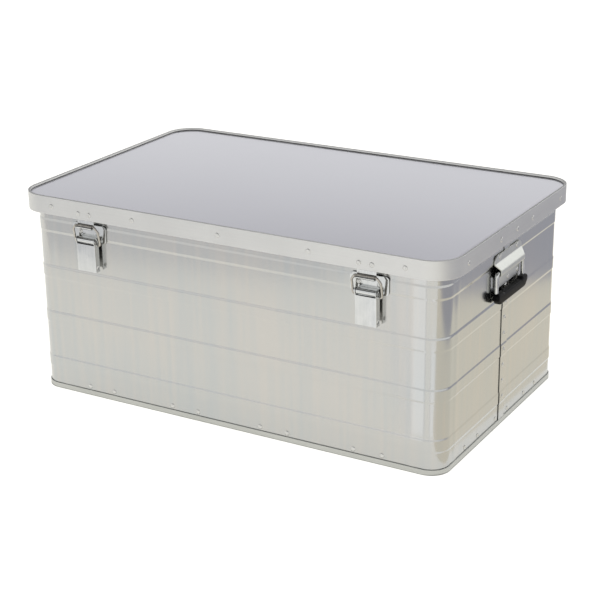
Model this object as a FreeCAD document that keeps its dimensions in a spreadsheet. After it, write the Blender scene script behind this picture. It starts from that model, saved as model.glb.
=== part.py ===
"""Sheet-aluminium flight case: swaged body, framed lid, two draw latches and two drop handles.

The case stands on Z = 0 with its long side along X, its latches facing -Y and its hinges at +Y.
"""
import FreeCAD, Part
import math
import os
import re
import Sketcher

Vector = FreeCAD.Vector
X_AXIS = Vector(1, 0, 0)
Y_AXIS = Vector(0, 1, 0)
Z_AXIS = Vector(0, 0, 1)

# Driving sizes in millimetres, each written once.
SIZES = {
    # Whole case
    "lid_length": 582,
    "lid_width": 364,
    "case_height": 258,
    "skirt_height": 22.5,
    "overhang": 12.3,
    "lid_corner_radius": 35,
    "body_corner_radius": 23,
    "seat_gap": 0.05,
    "run_gap": 0.05,
    "free_gap": 0.4,
    # Body walls
    "sheet_thickness": 0.8,
    "swage_depth": 1.0,
    "swage_height": 17.5,
    "swage_flank": 2.5,
    "first_swage": 35.3,
    "top_swage_drop": 18.7,
    "seam_offset": 10,
    "lap_width": 16,
    "butt_gap": 0.3,
    "joggle_length": 2.7,
    # Base
    "base_height": 7,
    "base_thickness": 1.3,
    "base_flange_width": 12,
    "base_flange_thickness": 1.5,
    "pan_thickness": 1.2,
    "pan_height": 16,
    # Rim on the walls' top edge
    "rim_thickness": 1.5,
    "rim_reach": 4,
    "rim_leg": 6,
    # Lid
    "skirt_thickness": 1.8,
    "lip_width": 3,
    "lip_height": 2.3,
    "lip_round": 1.0,
    "panel_thickness": 1.5,
    "panel_flange": 17.5,
    "seal_width": 6,
    "seal_height": 3.5,
    "seal_gap": 0.2,
    # Rivets
    "rivet_head_radius": 3,
    "rivet_head_height": 1.1,
    "rivet_shank_radius": 1.6,
    "rivet_tail_radius": 2.2,
    "rivet_tail_height": 1.0,
    "base_rivet_height": 11.5,
    "front_rivet_pair": 37,
    "front_pair_end": 91.7,
    "side_rivet_pair": 36,
    "side_pair_end": 82.7,
    "frame_rivet_rise": 10.5,
    "front_frame_end": 53,
    "side_frame_end": 47.5,
    "inner_side_rivet": 46,
    # Latches
    "latch_end": 101,
    "pivot_standoff": 9,
    "pivot_drop": 26,
    "latch_plate_width": 48,
    "latch_plate_above": 18.5,
    "latch_plate_below": 3.5,
    "latch_plate_thickness": 1.5,
    "latch_rivet_spacing": 25,
    "latch_rivet_rise": 8,
    "knuckle_radius": 3.3,
    "pivot_pin_radius": 2.0,
    "pivot_pin_bore": 1.2,
    "pivot_head_radius": 2.8,
    "pivot_head_height": 0.8,
    "lever_width": 27,
    "lever_length": 34.5,
    "lever_face_drop": 4.5,
    "lever_face_ahead": 2.5,
    "lever_depth": 8.3,
    "lever_thickness": 1.2,
    "lever_ear_radius": 4,
    "padlock_hole_radius": 2.2,
    "padlock_hole_rise": 5.5,
    "bail_wire_radius": 1.4,
    "bail_pivot_inboard": 2.86,
    "bail_pivot_drop": 5.25,
    "bail_top_rise": 18.5,
    "bail_foot_width": 36,
    "bail_top_width": 27,
    "bail_shoulder": 6,
    "bail_bend_radius": 3,
    "bail_toe": 6,
    "sleeve_radius": 2.2,
    "sleeve_overhang": 1,
    # Lid catches
    "catch_width": 24,
    "catch_thickness": 1.5,
    "catch_plate_height": 13,
    "catch_rivet_rise": 7.5,
    "catch_rivet_spacing": 16,
    "catch_side_play": 0.6,
    "catch_floor_play": 0.7,
    "catch_lip_play": 1.2,
    "catch_lip_thickness": 1.2,
    "catch_lip_drop": 0.5,
    # Handles
    "handle_axis_drop": 34,
    "rod_radius": 2.5,
    "rod_spacing": 77,
    "rod_bend_radius": 5,
    "handle_plate_thickness": 1.5,
    "handle_plate_width": 78,
    "handle_plate_drop": 14,
    "handle_plate_height": 41,
    "handle_foot_width": 68,
    "tunnel_width": 66,
    "tunnel_rise": 7.5,
    "tunnel_fall": 6.5,
    "handle_top_rivet_drop": 17.7,
    "handle_top_rivet_spacing": 49,
    "handle_low_rivet_drop": 48.7,
    "handle_low_rivet_spacing": 56,
    "grip_width": 87,
    "grip_bottom_drop": 71.5,
    "grip_bar_height": 12,
    "grip_end_height": 14,
    "grip_end_width": 14,
    "grip_corner_radius": 7,
    "grip_back_standoff": 2.4,
    "grip_thickness": 8,
    "grip_round": 2.5,
    # Hinges
    "hinge_end": 101,
    "hinge_length": 60,
    "hinge_knuckle_length": 23.4,
    "hinge_knuckle_gap": 0.3,
    "hinge_knuckle_radius": 3.2,
    "hinge_pin_radius": 1.6,
    "hinge_pin_head_radius": 2.4,
    "hinge_pin_head_height": 1,
    "hinge_drop": 5,
    "hinge_leaf_thickness": 1.6,
    "hinge_leaf_reach": 25,
    "hinge_lid_reach": 18,
    "hinge_rivet_spacing": 40,
    "hinge_rivet_drop": 18,
}

SWAGES = 4
SEAM_RIVETS = 8

# Sizes that follow from the driving ones.
RULES = {
    "lid_half_length": "lid_length / 2",
    "lid_half_width": "lid_width / 2",
    "body_half_length": "lid_half_length - overhang",
    "body_half_width": "lid_half_width - overhang",
    "skirt_bottom": "case_height - skirt_height",
    "panel_top": "case_height - lip_height",
    "panel_underside": "panel_top - panel_thickness",
    "panel_inset": "skirt_thickness + seat_gap",
    "rim_top": "panel_underside - seal_height - seal_gap - seat_gap",
    "wall_bottom": "base_flange_thickness + seat_gap",
    "wall_top": "rim_top - rim_thickness - seat_gap",
    "crest": "swage_depth + seat_gap",
    "lap_standoff": "sheet_thickness + seat_gap",
    "lap_bottom": "base_height + seat_gap",
    "swage_pitch": "(skirt_bottom - top_swage_drop - first_swage) / 3",
    "pan_inset": "sheet_thickness + seat_gap",
    "outer_front_pair": "body_half_length - front_pair_end",
    "inner_front_pair": "outer_front_pair / 3",
    "outer_side_pair": "body_half_width - side_pair_end",
    "front_frame_pitch": "(lid_half_length - front_frame_end) / 2",
    "outer_side_rivet": "lid_half_width - side_frame_end",
    "latch_position": "lid_half_length - latch_end",
    "pivot_height": "skirt_bottom - pivot_drop",
    "latch_plate_face": "crest + latch_plate_thickness",
    "bail_pivot_standoff": "pivot_standoff - bail_pivot_inboard",
    "bail_pivot_height": "pivot_height - bail_pivot_drop",
    "catch_back": "overhang - panel_inset - panel_thickness - seat_gap - catch_thickness",
    "bail_top_standoff": "catch_back + catch_thickness + catch_side_play + bail_wire_radius",
    "bail_top_height": "pivot_height + bail_top_rise",
    "lever_face": "pivot_standoff + lever_face_ahead",
    "lever_top": "pivot_height - lever_face_drop",
    "lever_bottom": "lever_top - lever_length",
    "lever_cheek_gap": "lever_width - 2 * lever_thickness",
    "handle_axis_height": "skirt_bottom - handle_axis_drop",
    "handle_back": "swage_depth + lap_standoff + seat_gap",
    "handle_face": "handle_back + handle_plate_thickness",
    "rod_standoff": "handle_back + free_gap + rod_radius",
    "tunnel_inside": "rod_standoff + rod_radius + free_gap",
    "handle_plate_top": "skirt_bottom - handle_plate_drop",
    "handle_plate_bottom": "handle_plate_top - handle_plate_height",
    "grip_bottom": "skirt_bottom - grip_bottom_drop",
    "hinge_position": "lid_half_length - hinge_end",
    "hinge_height": "skirt_bottom - hinge_drop",
    "hinge_standoff": "overhang + seat_gap + hinge_knuckle_radius + free_gap",
}

doc = FreeCAD.newDocument("flight_case")
sheet = doc.addObject("Spreadsheet::Sheet", "sizes")
for row, (alias, number) in enumerate(SIZES.items(), start=1):
    sheet.set(f"A{row}", alias)
    sheet.set(f"B{row}", str(number))
    sheet.setAlias(f"B{row}", alias)
doc.recompute()


def formula(text):
    """Spell out a formula in the sheet's sizes, following the rules above."""
    def spell(match):
        word = match.group(0)
        if word in RULES:
            return f"({formula(RULES[word])})"
        if word in SIZES:
            return f"sizes.{word}"
        return word
    return re.sub(r"[a-z_]+", spell, str(text))


def size(text):
    """The value of a formula in millimetres."""
    return float(sheet.evalExpression(formula(text)))


def front(standoff):
    """The Y of a point that stands off the front wall."""
    return f"-(body_half_width + {standoff})"


def rear(standoff):
    """The Y of a point that stands off the rear wall."""
    return f"(body_half_width + {standoff})"


def side(sign, standoff):
    """The X of a point that stands off the left (-1) or right (1) wall."""
    return f"{sign} * (body_half_length + {standoff})"


pieces = {}


def keep(label, piece):
    """List an object as a finished piece of the case."""
    piece.Label = label
    pieces[label] = piece
    return piece


def new_body(name):
    return doc.addObject("PartDesign::Body", name)


def new_sketch(body, name, plane, offset="0"):
    """A sketch on one of the body's own origin planes, moved along its normal."""
    sketch = body.newObject("Sketcher::SketchObject", name)
    support = [item for item in body.Origin.OriginFeatures if item.Role == plane][0]
    sketch.AttachmentSupport = [(support, "")]
    sketch.MapMode = "FlatFace"
    sketch.setExpression("AttachmentOffset.Base.z", formula(offset))
    return sketch


def bind(sketch, kind, target, text):
    """Add a constraint whose value is a formula."""
    index = sketch.addConstraint(Sketcher.Constraint(kind, *target, size(text)))
    sketch.setExpression(f"Constraints[{index}]", formula(text))


def pin_point(sketch, element, end, across, up):
    """Fix a point of the sketch at two formulas."""
    bind(sketch, "DistanceX", (-1, 1, element, end), across)
    bind(sketch, "DistanceY", (-1, 1, element, end), up)


def outline(body, name, plane, corners, offset="0"):
    """A closed straight-sided outline through corners given as pairs of formulas."""
    sketch = new_sketch(body, name, plane, offset)
    spots = [Vector(size(across), size(up), 0) for across, up in corners]
    count = len(spots)
    for index in range(count):
        sketch.addGeometry(Part.LineSegment(spots[index], spots[(index + 1) % count]))
    for index in range(count):
        sketch.addConstraint(Sketcher.Constraint("Coincident", index, 2, (index + 1) % count, 1))
    for index, (across, up) in enumerate(corners):
        pin_point(sketch, index, 1, across, up)
    return sketch


def rectangle(body, name, plane, low, high, offset="0"):
    """A rectangle between two corners given as pairs of formulas."""
    corners = [low, (high[0], low[1]), high, (low[0], high[1])]
    return outline(body, name, plane, corners, offset)


def circle(body, name, plane, centre, radius, offset="0"):
    """A circle at a pair of formulas."""
    sketch = new_sketch(body, name, plane, offset)
    middle = Vector(size(centre[0]), size(centre[1]), 0)
    sketch.addGeometry(Part.Circle(middle, Z_AXIS, size(radius)))
    pin_point(sketch, 0, 3, *centre)
    bind(sketch, "Radius", (0,), radius)
    return sketch


def rounded_rectangle(body, name, half_length, half_width, radius, height):
    """A level rounded rectangle about the Z axis, at a height."""
    sketch = new_sketch(body, name, "XY_Plane", height)
    across, along, bend = size(half_length), size(half_width), size(radius)
    quarter = math.pi / 2
    turns = [(1, -1, -1), (1, 1, 0), (-1, 1, 1), (-1, -1, 2)]
    arcs = []
    for sign_x, sign_y, start in turns:
        centre = Vector(sign_x * (across - bend), sign_y * (along - bend), 0)
        whole = Part.Circle(centre, Z_AXIS, bend)
        arcs.append(Part.ArcOfCircle(whole, start * quarter, (start + 1) * quarter))
    for index, arc in enumerate(arcs):
        sketch.addGeometry(Part.LineSegment(arcs[index - 1].EndPoint, arc.StartPoint))
        sketch.addGeometry(arc)
    for index in range(8):
        sketch.addConstraint(Sketcher.Constraint("Tangent", index, 2, (index + 1) % 8, 1))
    for line in (0, 4):
        sketch.addConstraint(Sketcher.Constraint("Horizontal", line))
        sketch.addConstraint(Sketcher.Constraint("Vertical", line + 2))
    for arc in (3, 5, 7):
        sketch.addConstraint(Sketcher.Constraint("Equal", 1, arc))
    bind(sketch, "Radius", (1,), radius)
    bind(sketch, "DistanceY", (-1, 1, 0, 1), f"-({half_width})")
    bind(sketch, "DistanceX", (-1, 1, 2, 1), half_length)
    bind(sketch, "DistanceY", (-1, 1, 4, 1), half_width)
    bind(sketch, "DistanceX", (-1, 1, 6, 1), f"-({half_length})")
    return sketch


def extrude(body, kind, sketch, length, middle=False, backwards=False):
    """A pad or pocket of a sketch by a formula's length."""
    feature = body.newObject(f"PartDesign::{kind}", f"{sketch.Name}_{kind.lower()}")
    feature.Profile = sketch
    feature.setExpression("Length", formula(length))
    feature.Midplane = middle
    feature.Reversed = backwards
    return feature


def pad(body, sketch, length, middle=False, backwards=False):
    return extrude(body, "Pad", sketch, length, middle, backwards)


def pocket(body, sketch, length, middle=False, backwards=False):
    """A pocket, which has to take material away."""
    doc.recompute()
    before = body.Shape.Volume
    feature = extrude(body, "Pocket", sketch, length, middle, backwards)
    doc.recompute()
    if body.Shape.Volume >= before:
        raise RuntimeError(f"{feature.Name} cuts nothing")
    return feature


def ring(body, name, outset, height, length, cutting=False, upwards=True):
    """Pad or cut the body's rounded plan, outset from the wall's outer face, from a height."""
    sketch = rounded_rectangle(
        body, name, f"body_half_length + {outset}", f"body_half_width + {outset}",
        f"body_corner_radius + {outset}", height)
    if cutting:
        return pocket(body, sketch, length, backwards=upwards)
    return pad(body, sketch, length)


def lid_ring(body, name, inset, height, length, cutting=False, upwards=True):
    """Pad or cut the lid's rounded plan, inset from the skirt's outer face, from a height."""
    sketch = rounded_rectangle(
        body, name, f"lid_half_length - ({inset})", f"lid_half_width - ({inset})",
        f"lid_corner_radius - ({inset})", height)
    if cutting:
        return pocket(body, sketch, length, backwards=upwards)
    return pad(body, sketch, length)


# Rivets: a domed head on the outside, a shank through the stack and a set tail on the inside.

def rivet(seat, outward, stack):
    """One set rivet whose head sits at a point, through a stack of a given thickness."""
    head, dome = size("rivet_head_radius"), size("rivet_head_height")
    shank = size("rivet_shank_radius")
    tail, tail_height = size("rivet_tail_radius"), size("rivet_tail_height")
    ball = (head ** 2 + dome ** 2) / (2 * dome)
    half_turn = math.asin(head / ball) / 2
    crown = Vector(ball * math.sin(half_turn), 0, dome - ball + ball * math.cos(half_turn))
    edges = [Part.Arc(Vector(0, 0, dome), crown, Vector(head, 0, 0)).toShape()]
    steps = [(head, 0), (shank, 0), (shank, -stack), (tail, -stack), (tail, -stack - tail_height),
             (0, -stack - tail_height), (0, dome)]
    for start, end in zip(steps, steps[1:]):
        edges.append(Part.makeLine(Vector(start[0], 0, start[1]), Vector(end[0], 0, end[1])))
    solid = Part.Face(Part.Wire(edges)).revolve(Vector(), Z_AXIS, 360)
    solid.Placement = FreeCAD.Placement(seat, FreeCAD.Rotation(Z_AXIS, outward))
    return solid


def rivet_hole(seat, outward, stack):
    """The drilled hole of one rivet, through its stack."""
    radius = size("rivet_shank_radius + seat_gap")
    spare = size("rivet_tail_height")
    return Part.makeCylinder(radius, stack + 2 * spare, seat + outward * spare, -outward)


def rivet_group(label, seats):
    """A node of rivets, and the drill that makes their holes."""
    group = doc.addObject("Part::Feature", label)
    group.Shape = Part.makeCompound([rivet(*seat) for seat in seats])
    keep(label, group)
    drill = doc.addObject("Part::Feature", f"{label}_drill")
    drill.Shape = Part.makeCompound([rivet_hole(*seat) for seat in seats])
    return drill


def drilled(label, blank, drills):
    """A piece with its rivet holes cut through its blank."""
    for index, drill in enumerate(drills):
        cut = doc.addObject("Part::Cut", f"{label}_drilled_{index}")
        cut.Base = blank
        cut.Tool = drill
        blank = cut
    return keep(label, blank)


def point(across, along, up):
    return Vector(size(across), size(along), size(up))


def mirrored_places(*places):
    """Each place and its mirror image, with zero once."""
    return [f"{sign} * ({place})" for place in places for sign in (1, -1)]


def base_rivet_seats():
    stack = size("sheet_thickness + seat_gap + pan_thickness")
    seats = []
    for pair in mirrored_places("inner_front_pair", "outer_front_pair"):
        for place in mirrored_places("front_rivet_pair / 2"):
            across = f"{pair} + {place}"
            seats.append((point(across, front(0), "base_rivet_height"), -Y_AXIS, stack))
            seats.append((point(across, rear(0), "base_rivet_height"), Y_AXIS, stack))
    for pair in ["0"] + mirrored_places("outer_side_pair"):
        for place in mirrored_places("side_rivet_pair / 2"):
            for sign in (1, -1):
                seat = point(side(sign, 0), f"{pair} + {place}", "base_rivet_height")
                seats.append((seat, sign * X_AXIS, stack))
    return seats


def seam_rivet_seats():
    """Three rivets to each swage pitch, so that every third one sits on a crest."""
    seats = []
    for index in range(SEAM_RIVETS):
        standoff = "lap_standoff + swage_depth" if index % 3 == 0 else "lap_standoff"
        height = f"first_swage + {index} * swage_pitch / 3"
        for sign in (1, -1):
            seat = point(side(sign, standoff), "lap_width / 2 - seam_offset", height)
            seats.append((seat, sign * X_AXIS, size("sheet_thickness + lap_standoff")))
    return seats


def frame_rivet_seats():
    stack = size("panel_inset + panel_thickness")
    height = "skirt_bottom + frame_rivet_rise"
    seats = []
    for place in ["0"] + mirrored_places("front_frame_pitch", "2 * front_frame_pitch"):
        seats.append((point(place, "-lid_half_width", height), -Y_AXIS, stack))
        seats.append((point(place, "lid_half_width", height), Y_AXIS, stack))
    for place in ["0"] + mirrored_places("inner_side_rivet", "outer_side_rivet"):
        for sign in (1, -1):
            seats.append((point(f"{sign} * lid_half_length", place, height), sign * X_AXIS, stack))
    return seats


def catch_rivet_seats():
    stack = size("panel_inset + panel_thickness + seat_gap + catch_thickness")
    height = "skirt_bottom + catch_rivet_rise"
    return [(point(f"{latch} + {place}", "-lid_half_width", height), -Y_AXIS, stack)
            for latch in mirrored_places("latch_position")
            for place in mirrored_places("catch_rivet_spacing / 2")]


def latch_rivet_seats():
    stack = size("latch_plate_face + sheet_thickness")
    height = "pivot_height + latch_rivet_rise"
    return [(point(f"{latch} + {place}", front("latch_plate_face"), height), -Y_AXIS, stack)
            for latch in mirrored_places("latch_position")
            for place in mirrored_places("latch_rivet_spacing / 2")]


def handle_rivet_seats():
    stack = size("handle_face + sheet_thickness")
    seats = []
    for sign in (1, -1):
        across = side(sign, "handle_face")
        for place in mirrored_places("handle_top_rivet_spacing / 2"):
            seat = point(across, place, "skirt_bottom - handle_top_rivet_drop")
            seats.append((seat, sign * X_AXIS, stack))
        for place in ["0"] + mirrored_places("handle_low_rivet_spacing / 2"):
            seat = point(across, place, "skirt_bottom - handle_low_rivet_drop")
            seats.append((seat, sign * X_AXIS, stack))
    return seats


def hinge_body_rivet_seats():
    face = "crest + hinge_leaf_thickness"
    stack = size(f"{face} + sheet_thickness")
    return [(point(f"{hinge} + {place}", rear(face), "hinge_height - hinge_rivet_drop"), Y_AXIS, stack)
            for hinge in mirrored_places("hinge_position")
            for place in mirrored_places("hinge_rivet_spacing / 2")]


def hinge_lid_rivet_seats():
    stack = size("hinge_leaf_thickness + seat_gap + panel_inset + panel_thickness")
    return [(point(f"{hinge} + {place}", "lid_half_width + seat_gap + hinge_leaf_thickness",
                   "skirt_bottom + frame_rivet_rise"), Y_AXIS, stack)
            for hinge in mirrored_places("hinge_position")
            for place in mirrored_places("hinge_rivet_spacing / 2")]


base_drill = rivet_group("base_rivets", base_rivet_seats())
seam_drill = rivet_group("seam_rivets", seam_rivet_seats())
frame_drill = rivet_group("lid_frame_rivets", frame_rivet_seats())
catch_drill = rivet_group("catch_rivets", catch_rivet_seats())
latch_drill = rivet_group("latch_plate_rivets", latch_rivet_seats())
handle_drill = rivet_group("handle_rivets", handle_rivet_seats())
hinge_body_drill = rivet_group("hinge_body_rivets", hinge_body_rivet_seats())
hinge_lid_drill = rivet_group("hinge_lid_rivets", hinge_lid_rivet_seats())


# Body: base profile, pan, two wall sheets and rim.

def base_profile():
    """An angle round the foot of the walls, whose flange carries the walls and the pan."""
    body = new_body("base_profile")
    ring(body, "base_outside", "seat_gap + base_thickness", "0", "base_height")
    ring(body, "base_leg_inside", "seat_gap", "base_flange_thickness", "base_height", True)
    ring(body, "base_flange_inside", "-base_flange_width", "0", "base_flange_thickness", True)
    keep("base_profile", body)


def base_pan():
    """The floor, with a flange turned up inside the walls."""
    body = new_body("base_pan_blank")
    ring(body, "pan_outside", "-pan_inset", "wall_bottom", "pan_height")
    ring(body, "pan_inside", "-(pan_inset + pan_thickness)", "wall_bottom + pan_thickness", "pan_height",
         True)
    drilled("base_pan", body, [base_drill])


def wall_section(standoff, bottom="wall_bottom"):
    """The wall sheet's section as (standoff, height) formulas: its outside and its inside, both rising."""
    rising = [("0", bottom)]
    for index in range(SWAGES):
        middle = f"first_swage + {index} * swage_pitch"
        rising.append(("0", f"{middle} - swage_height / 2"))
        rising.append(("swage_depth", f"{middle} - swage_height / 2 + swage_flank"))
        rising.append(("swage_depth", f"{middle} + swage_height / 2 - swage_flank"))
        rising.append(("0", f"{middle} + swage_height / 2"))
    rising.append(("0", "wall_top"))
    outside = [(f"{standoff} + {out}", height) for out, height in rising]
    inside = [(f"{standoff} - sheet_thickness + {out}", height) for out, height in rising]
    return outside, inside


def between(outside, inside, sign=1):
    """A closed section on the left (-1) or right (1) wall, up its outside and down its inside."""
    return [(side(sign, out), height) for out, height in outside + inside[::-1]]


def wall_path(body, name, facing, start):
    """Half of the body's rounded plan, from the right wall at a place to the left wall."""
    sketch = new_sketch(body, name, "XY_Plane")
    across, along, bend = size("body_half_length"), size("body_half_width"), size("body_corner_radius")
    straight = along - bend
    inset = bend * (1 - math.sqrt(0.5))
    corner = [(across, straight), (across - inset, along - inset), (across - bend, along)]
    right = Part.Arc(*[Vector(x, facing * y, 0) for x, y in corner])
    left = Part.Arc(*[Vector(-x, facing * y, 0) for x, y in reversed(corner)])
    begin = Vector(across, size(start), 0)
    finish = Vector(-across, size(start), 0)
    sketch.addGeometry(Part.LineSegment(begin, Vector(across, facing * straight, 0)))
    sketch.addGeometry(right)
    sketch.addGeometry(Part.LineSegment(Vector(across - bend, facing * along, 0),
                                        Vector(bend - across, facing * along, 0)))
    sketch.addGeometry(left)
    sketch.addGeometry(Part.LineSegment(Vector(-across, facing * straight, 0), finish))
    # A sketch counts an arc's ends anticlockwise, and the front half turns clockwise.
    entry, leave = (1, 2) if facing > 0 else (2, 1)
    for arc in (1, 3):
        sketch.addConstraint(Sketcher.Constraint("Tangent", arc - 1, 2, arc, entry))
        sketch.addConstraint(Sketcher.Constraint("Tangent", arc, leave, arc + 1, 1))
    sketch.addConstraint(Sketcher.Constraint("Vertical", 0))
    sketch.addConstraint(Sketcher.Constraint("Horizontal", 2))
    sketch.addConstraint(Sketcher.Constraint("Vertical", 4))
    sketch.addConstraint(Sketcher.Constraint("Equal", 1, 3))
    bind(sketch, "Radius", (1,), "body_corner_radius")
    pin_point(sketch, 0, 1, "body_half_length", start)
    pin_point(sketch, 4, 2, "-body_half_length", start)
    bind(sketch, "DistanceY", (-1, 1, 2, 1), f"{facing} * body_half_width")
    return sketch


def sweep(body, name, section, path):
    """Sweep a section along every edge of a path."""
    doc.recompute()
    pipe = body.newObject("PartDesign::AdditivePipe", name)
    pipe.Profile = section
    pipe.Spine = (path, [f"Edge{index + 1}" for index in range(path.GeometryCount)])
    doc.recompute()
    return pipe


def wall_sheet(body, name, facing, start):
    """A swaged sheet bent round two corners, from one short side to the other."""
    section = outline(body, f"{name}_section", "XZ_Plane", between(*wall_section("0")), f"-({start})")
    path = wall_path(body, f"{name}_path", facing, start)
    sweep(body, f"{name}_sweep", section, path)


def front_shell():
    body = new_body("front_shell_blank")
    wall_sheet(body, "front_wall", -1, "lap_width - seam_offset")
    drilled("front_shell", body, [base_drill, seam_drill, latch_drill, handle_drill])


def rear_shell():
    """The rear sheet, joggled outwards at each end to lap over the front one."""
    body = new_body("rear_shell_blank")
    start = "(lap_width - seam_offset + butt_gap)"
    wall_sheet(body, "rear_wall", 1, start)
    lap_outside, lap_inside = wall_section("lap_standoff", "lap_bottom")
    wall_inside = wall_section("0", "lap_bottom")[1]
    for sign, name in ((1, "right"), (-1, "left")):
        lap = outline(body, f"lap_{name}", "XZ_Plane", between(lap_outside, lap_inside, sign), "seam_offset")
        pad(body, lap, f"{start} + joggle_length + seam_offset", backwards=True)
        both = between(lap_outside, wall_inside, sign)
        step = outline(body, f"joggle_{name}", "XZ_Plane", both, f"-{start}")
        pad(body, step, "joggle_length", backwards=True)
    drilled("rear_shell", body, [base_drill, seam_drill, handle_drill, hinge_body_drill])


def rim_profile():
    """An angle that caps the walls' top edge: a flange outwards and a leg down the inside."""
    body = new_body("rim_profile")
    ring(body, "rim_flange", "rim_reach", "rim_top - rim_thickness", "rim_thickness")
    ring(body, "rim_leg_outside", "-pan_inset", "rim_top - rim_thickness - rim_leg", "rim_leg")
    ring(body, "rim_inside", "-(pan_inset + rim_thickness)", "rim_top - rim_thickness - rim_leg",
         "rim_thickness + rim_leg", True)
    keep("rim_profile", body)


# Lid: frame, panel and seal.

def lid_frame():
    """The skirt all round, with a lip above the panel's edge."""
    body = new_body("lid_frame_blank")
    lid_ring(body, "frame_outside", "0", "skirt_bottom", "skirt_height")
    lid_ring(body, "skirt_inside", "skirt_thickness", "skirt_bottom", "skirt_height - lip_height", True)
    lip = lid_ring(body, "lip_inside", "lip_width", "panel_top", "lip_height", True)
    top = size("case_height")
    names = [f"Edge{index + 1}" for index, edge in enumerate(lip.Shape.Edges)
             if abs(edge.BoundBox.ZMin - top) < 1e-6 and abs(edge.BoundBox.ZMax - top) < 1e-6]
    rounding = body.newObject("PartDesign::Fillet", "lip_rounding")
    rounding.Base = (lip, names)
    rounding.setExpression("Radius", formula("lip_round"))
    drilled("lid_frame", body, [frame_drill, catch_drill, hinge_lid_drill])


def lid_panel():
    """A pressed pan under the lip, with its flange turned down inside the skirt."""
    body = new_body("lid_panel_blank")
    lid_ring(body, "panel_outside", "panel_inset", "panel_top - panel_flange - seat_gap", "panel_flange")
    lid_ring(body, "panel_inside", "panel_inset + panel_thickness", "panel_top - panel_flange - seat_gap",
             "panel_flange - panel_thickness", True)
    drilled("lid_panel", body, [frame_drill, catch_drill, hinge_lid_drill])


def lid_seal():
    """A rubber strip under the panel that closes on the rim."""
    body = new_body("lid_seal")
    ring(body, "seal_outside", "rim_reach", "rim_top + seal_gap", "seal_height - seat_gap")
    ring(body, "seal_inside", "rim_reach - seal_width", "rim_top + seal_gap", "seal_height", True)
    keep("lid_seal", body)


base_profile()
base_pan()
front_shell()
rear_shell()
rim_profile()
lid_frame()
lid_panel()
lid_seal()


# Latches

def x_cylinder(name, radius, length, centre):
    """A cylinder along X about a centre given as three formulas."""
    rod = doc.addObject("Part::Cylinder", name)
    rod.setExpression("Radius", formula(radius))
    rod.setExpression("Height", formula(length))
    rod.Placement = FreeCAD.Placement(Vector(), FreeCAD.Rotation(Z_AXIS, X_AXIS))
    rod.setExpression("Placement.Base.x", formula(f"{centre[0]} - ({length}) / 2"))
    rod.setExpression("Placement.Base.y", formula(centre[1]))
    rod.setExpression("Placement.Base.z", formula(centre[2]))
    return rod


def boolean(kind, name, base, tool):
    feature = doc.addObject(f"Part::{kind}", name)
    feature.Base = base
    feature.Tool = tool
    return feature


def latch_base_plate(hand, place):
    """A plate on the wall whose tongue is rolled out into the lever's knuckle."""
    body = new_body(f"latch_base_plate_{hand}_blank")
    plate = rectangle(
        body, f"latch_plate_{hand}", "YZ_Plane",
        (front("crest"), "pivot_height - latch_plate_below"),
        (front("latch_plate_face"), "pivot_height + latch_plate_above"), place)
    pad(body, plate, "latch_plate_width", middle=True)
    tongue = rectangle(
        body, f"latch_tongue_{hand}", "YZ_Plane",
        (front("crest"), "pivot_height + knuckle_radius - latch_plate_thickness"),
        (front("pivot_standoff"), "pivot_height + knuckle_radius"), place)
    width = "lever_cheek_gap - 2 * free_gap"
    pad(body, tongue, width, middle=True)
    centre = (front("pivot_standoff"), "pivot_height")
    knuckle = circle(body, f"latch_knuckle_{hand}", "YZ_Plane", centre, "knuckle_radius", place)
    pad(body, knuckle, width, middle=True)
    bore = circle(body, f"latch_bore_{hand}", "YZ_Plane", centre, "pivot_pin_radius + run_gap", place)
    pocket(body, bore, "latch_plate_width", middle=True)
    drilled(f"latch_base_plate_{hand}", body, [latch_drill])


def latch_pivot_pin(hand, place):
    """A hollow rivet with a head outside each cheek of the lever."""
    centre = (place, front("pivot_standoff"), "pivot_height")
    name = f"latch_pivot_{hand}"
    length = "lever_width + 2 * free_gap + 2 * pivot_head_height"
    shank = x_cylinder(f"{name}_shank", "pivot_pin_radius", length, centre)
    solid = shank
    for sign in (1, -1):
        middle = f"{place} + {sign} * (lever_width / 2 + free_gap + pivot_head_height / 2)"
        head = x_cylinder(f"{name}_head_{sign + 1}", "pivot_head_radius", "pivot_head_height",
                          (middle,) + centre[1:])
        solid = boolean("Fuse", f"{name}_with_head_{sign + 1}", solid, head)
    bore = x_cylinder(f"{name}_bore", "pivot_pin_bore", f"2 * ({length})", centre)
    keep(f"latch_pivot_pin_{hand}", boolean("Cut", f"{name}_hollow", solid, bore))


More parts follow.
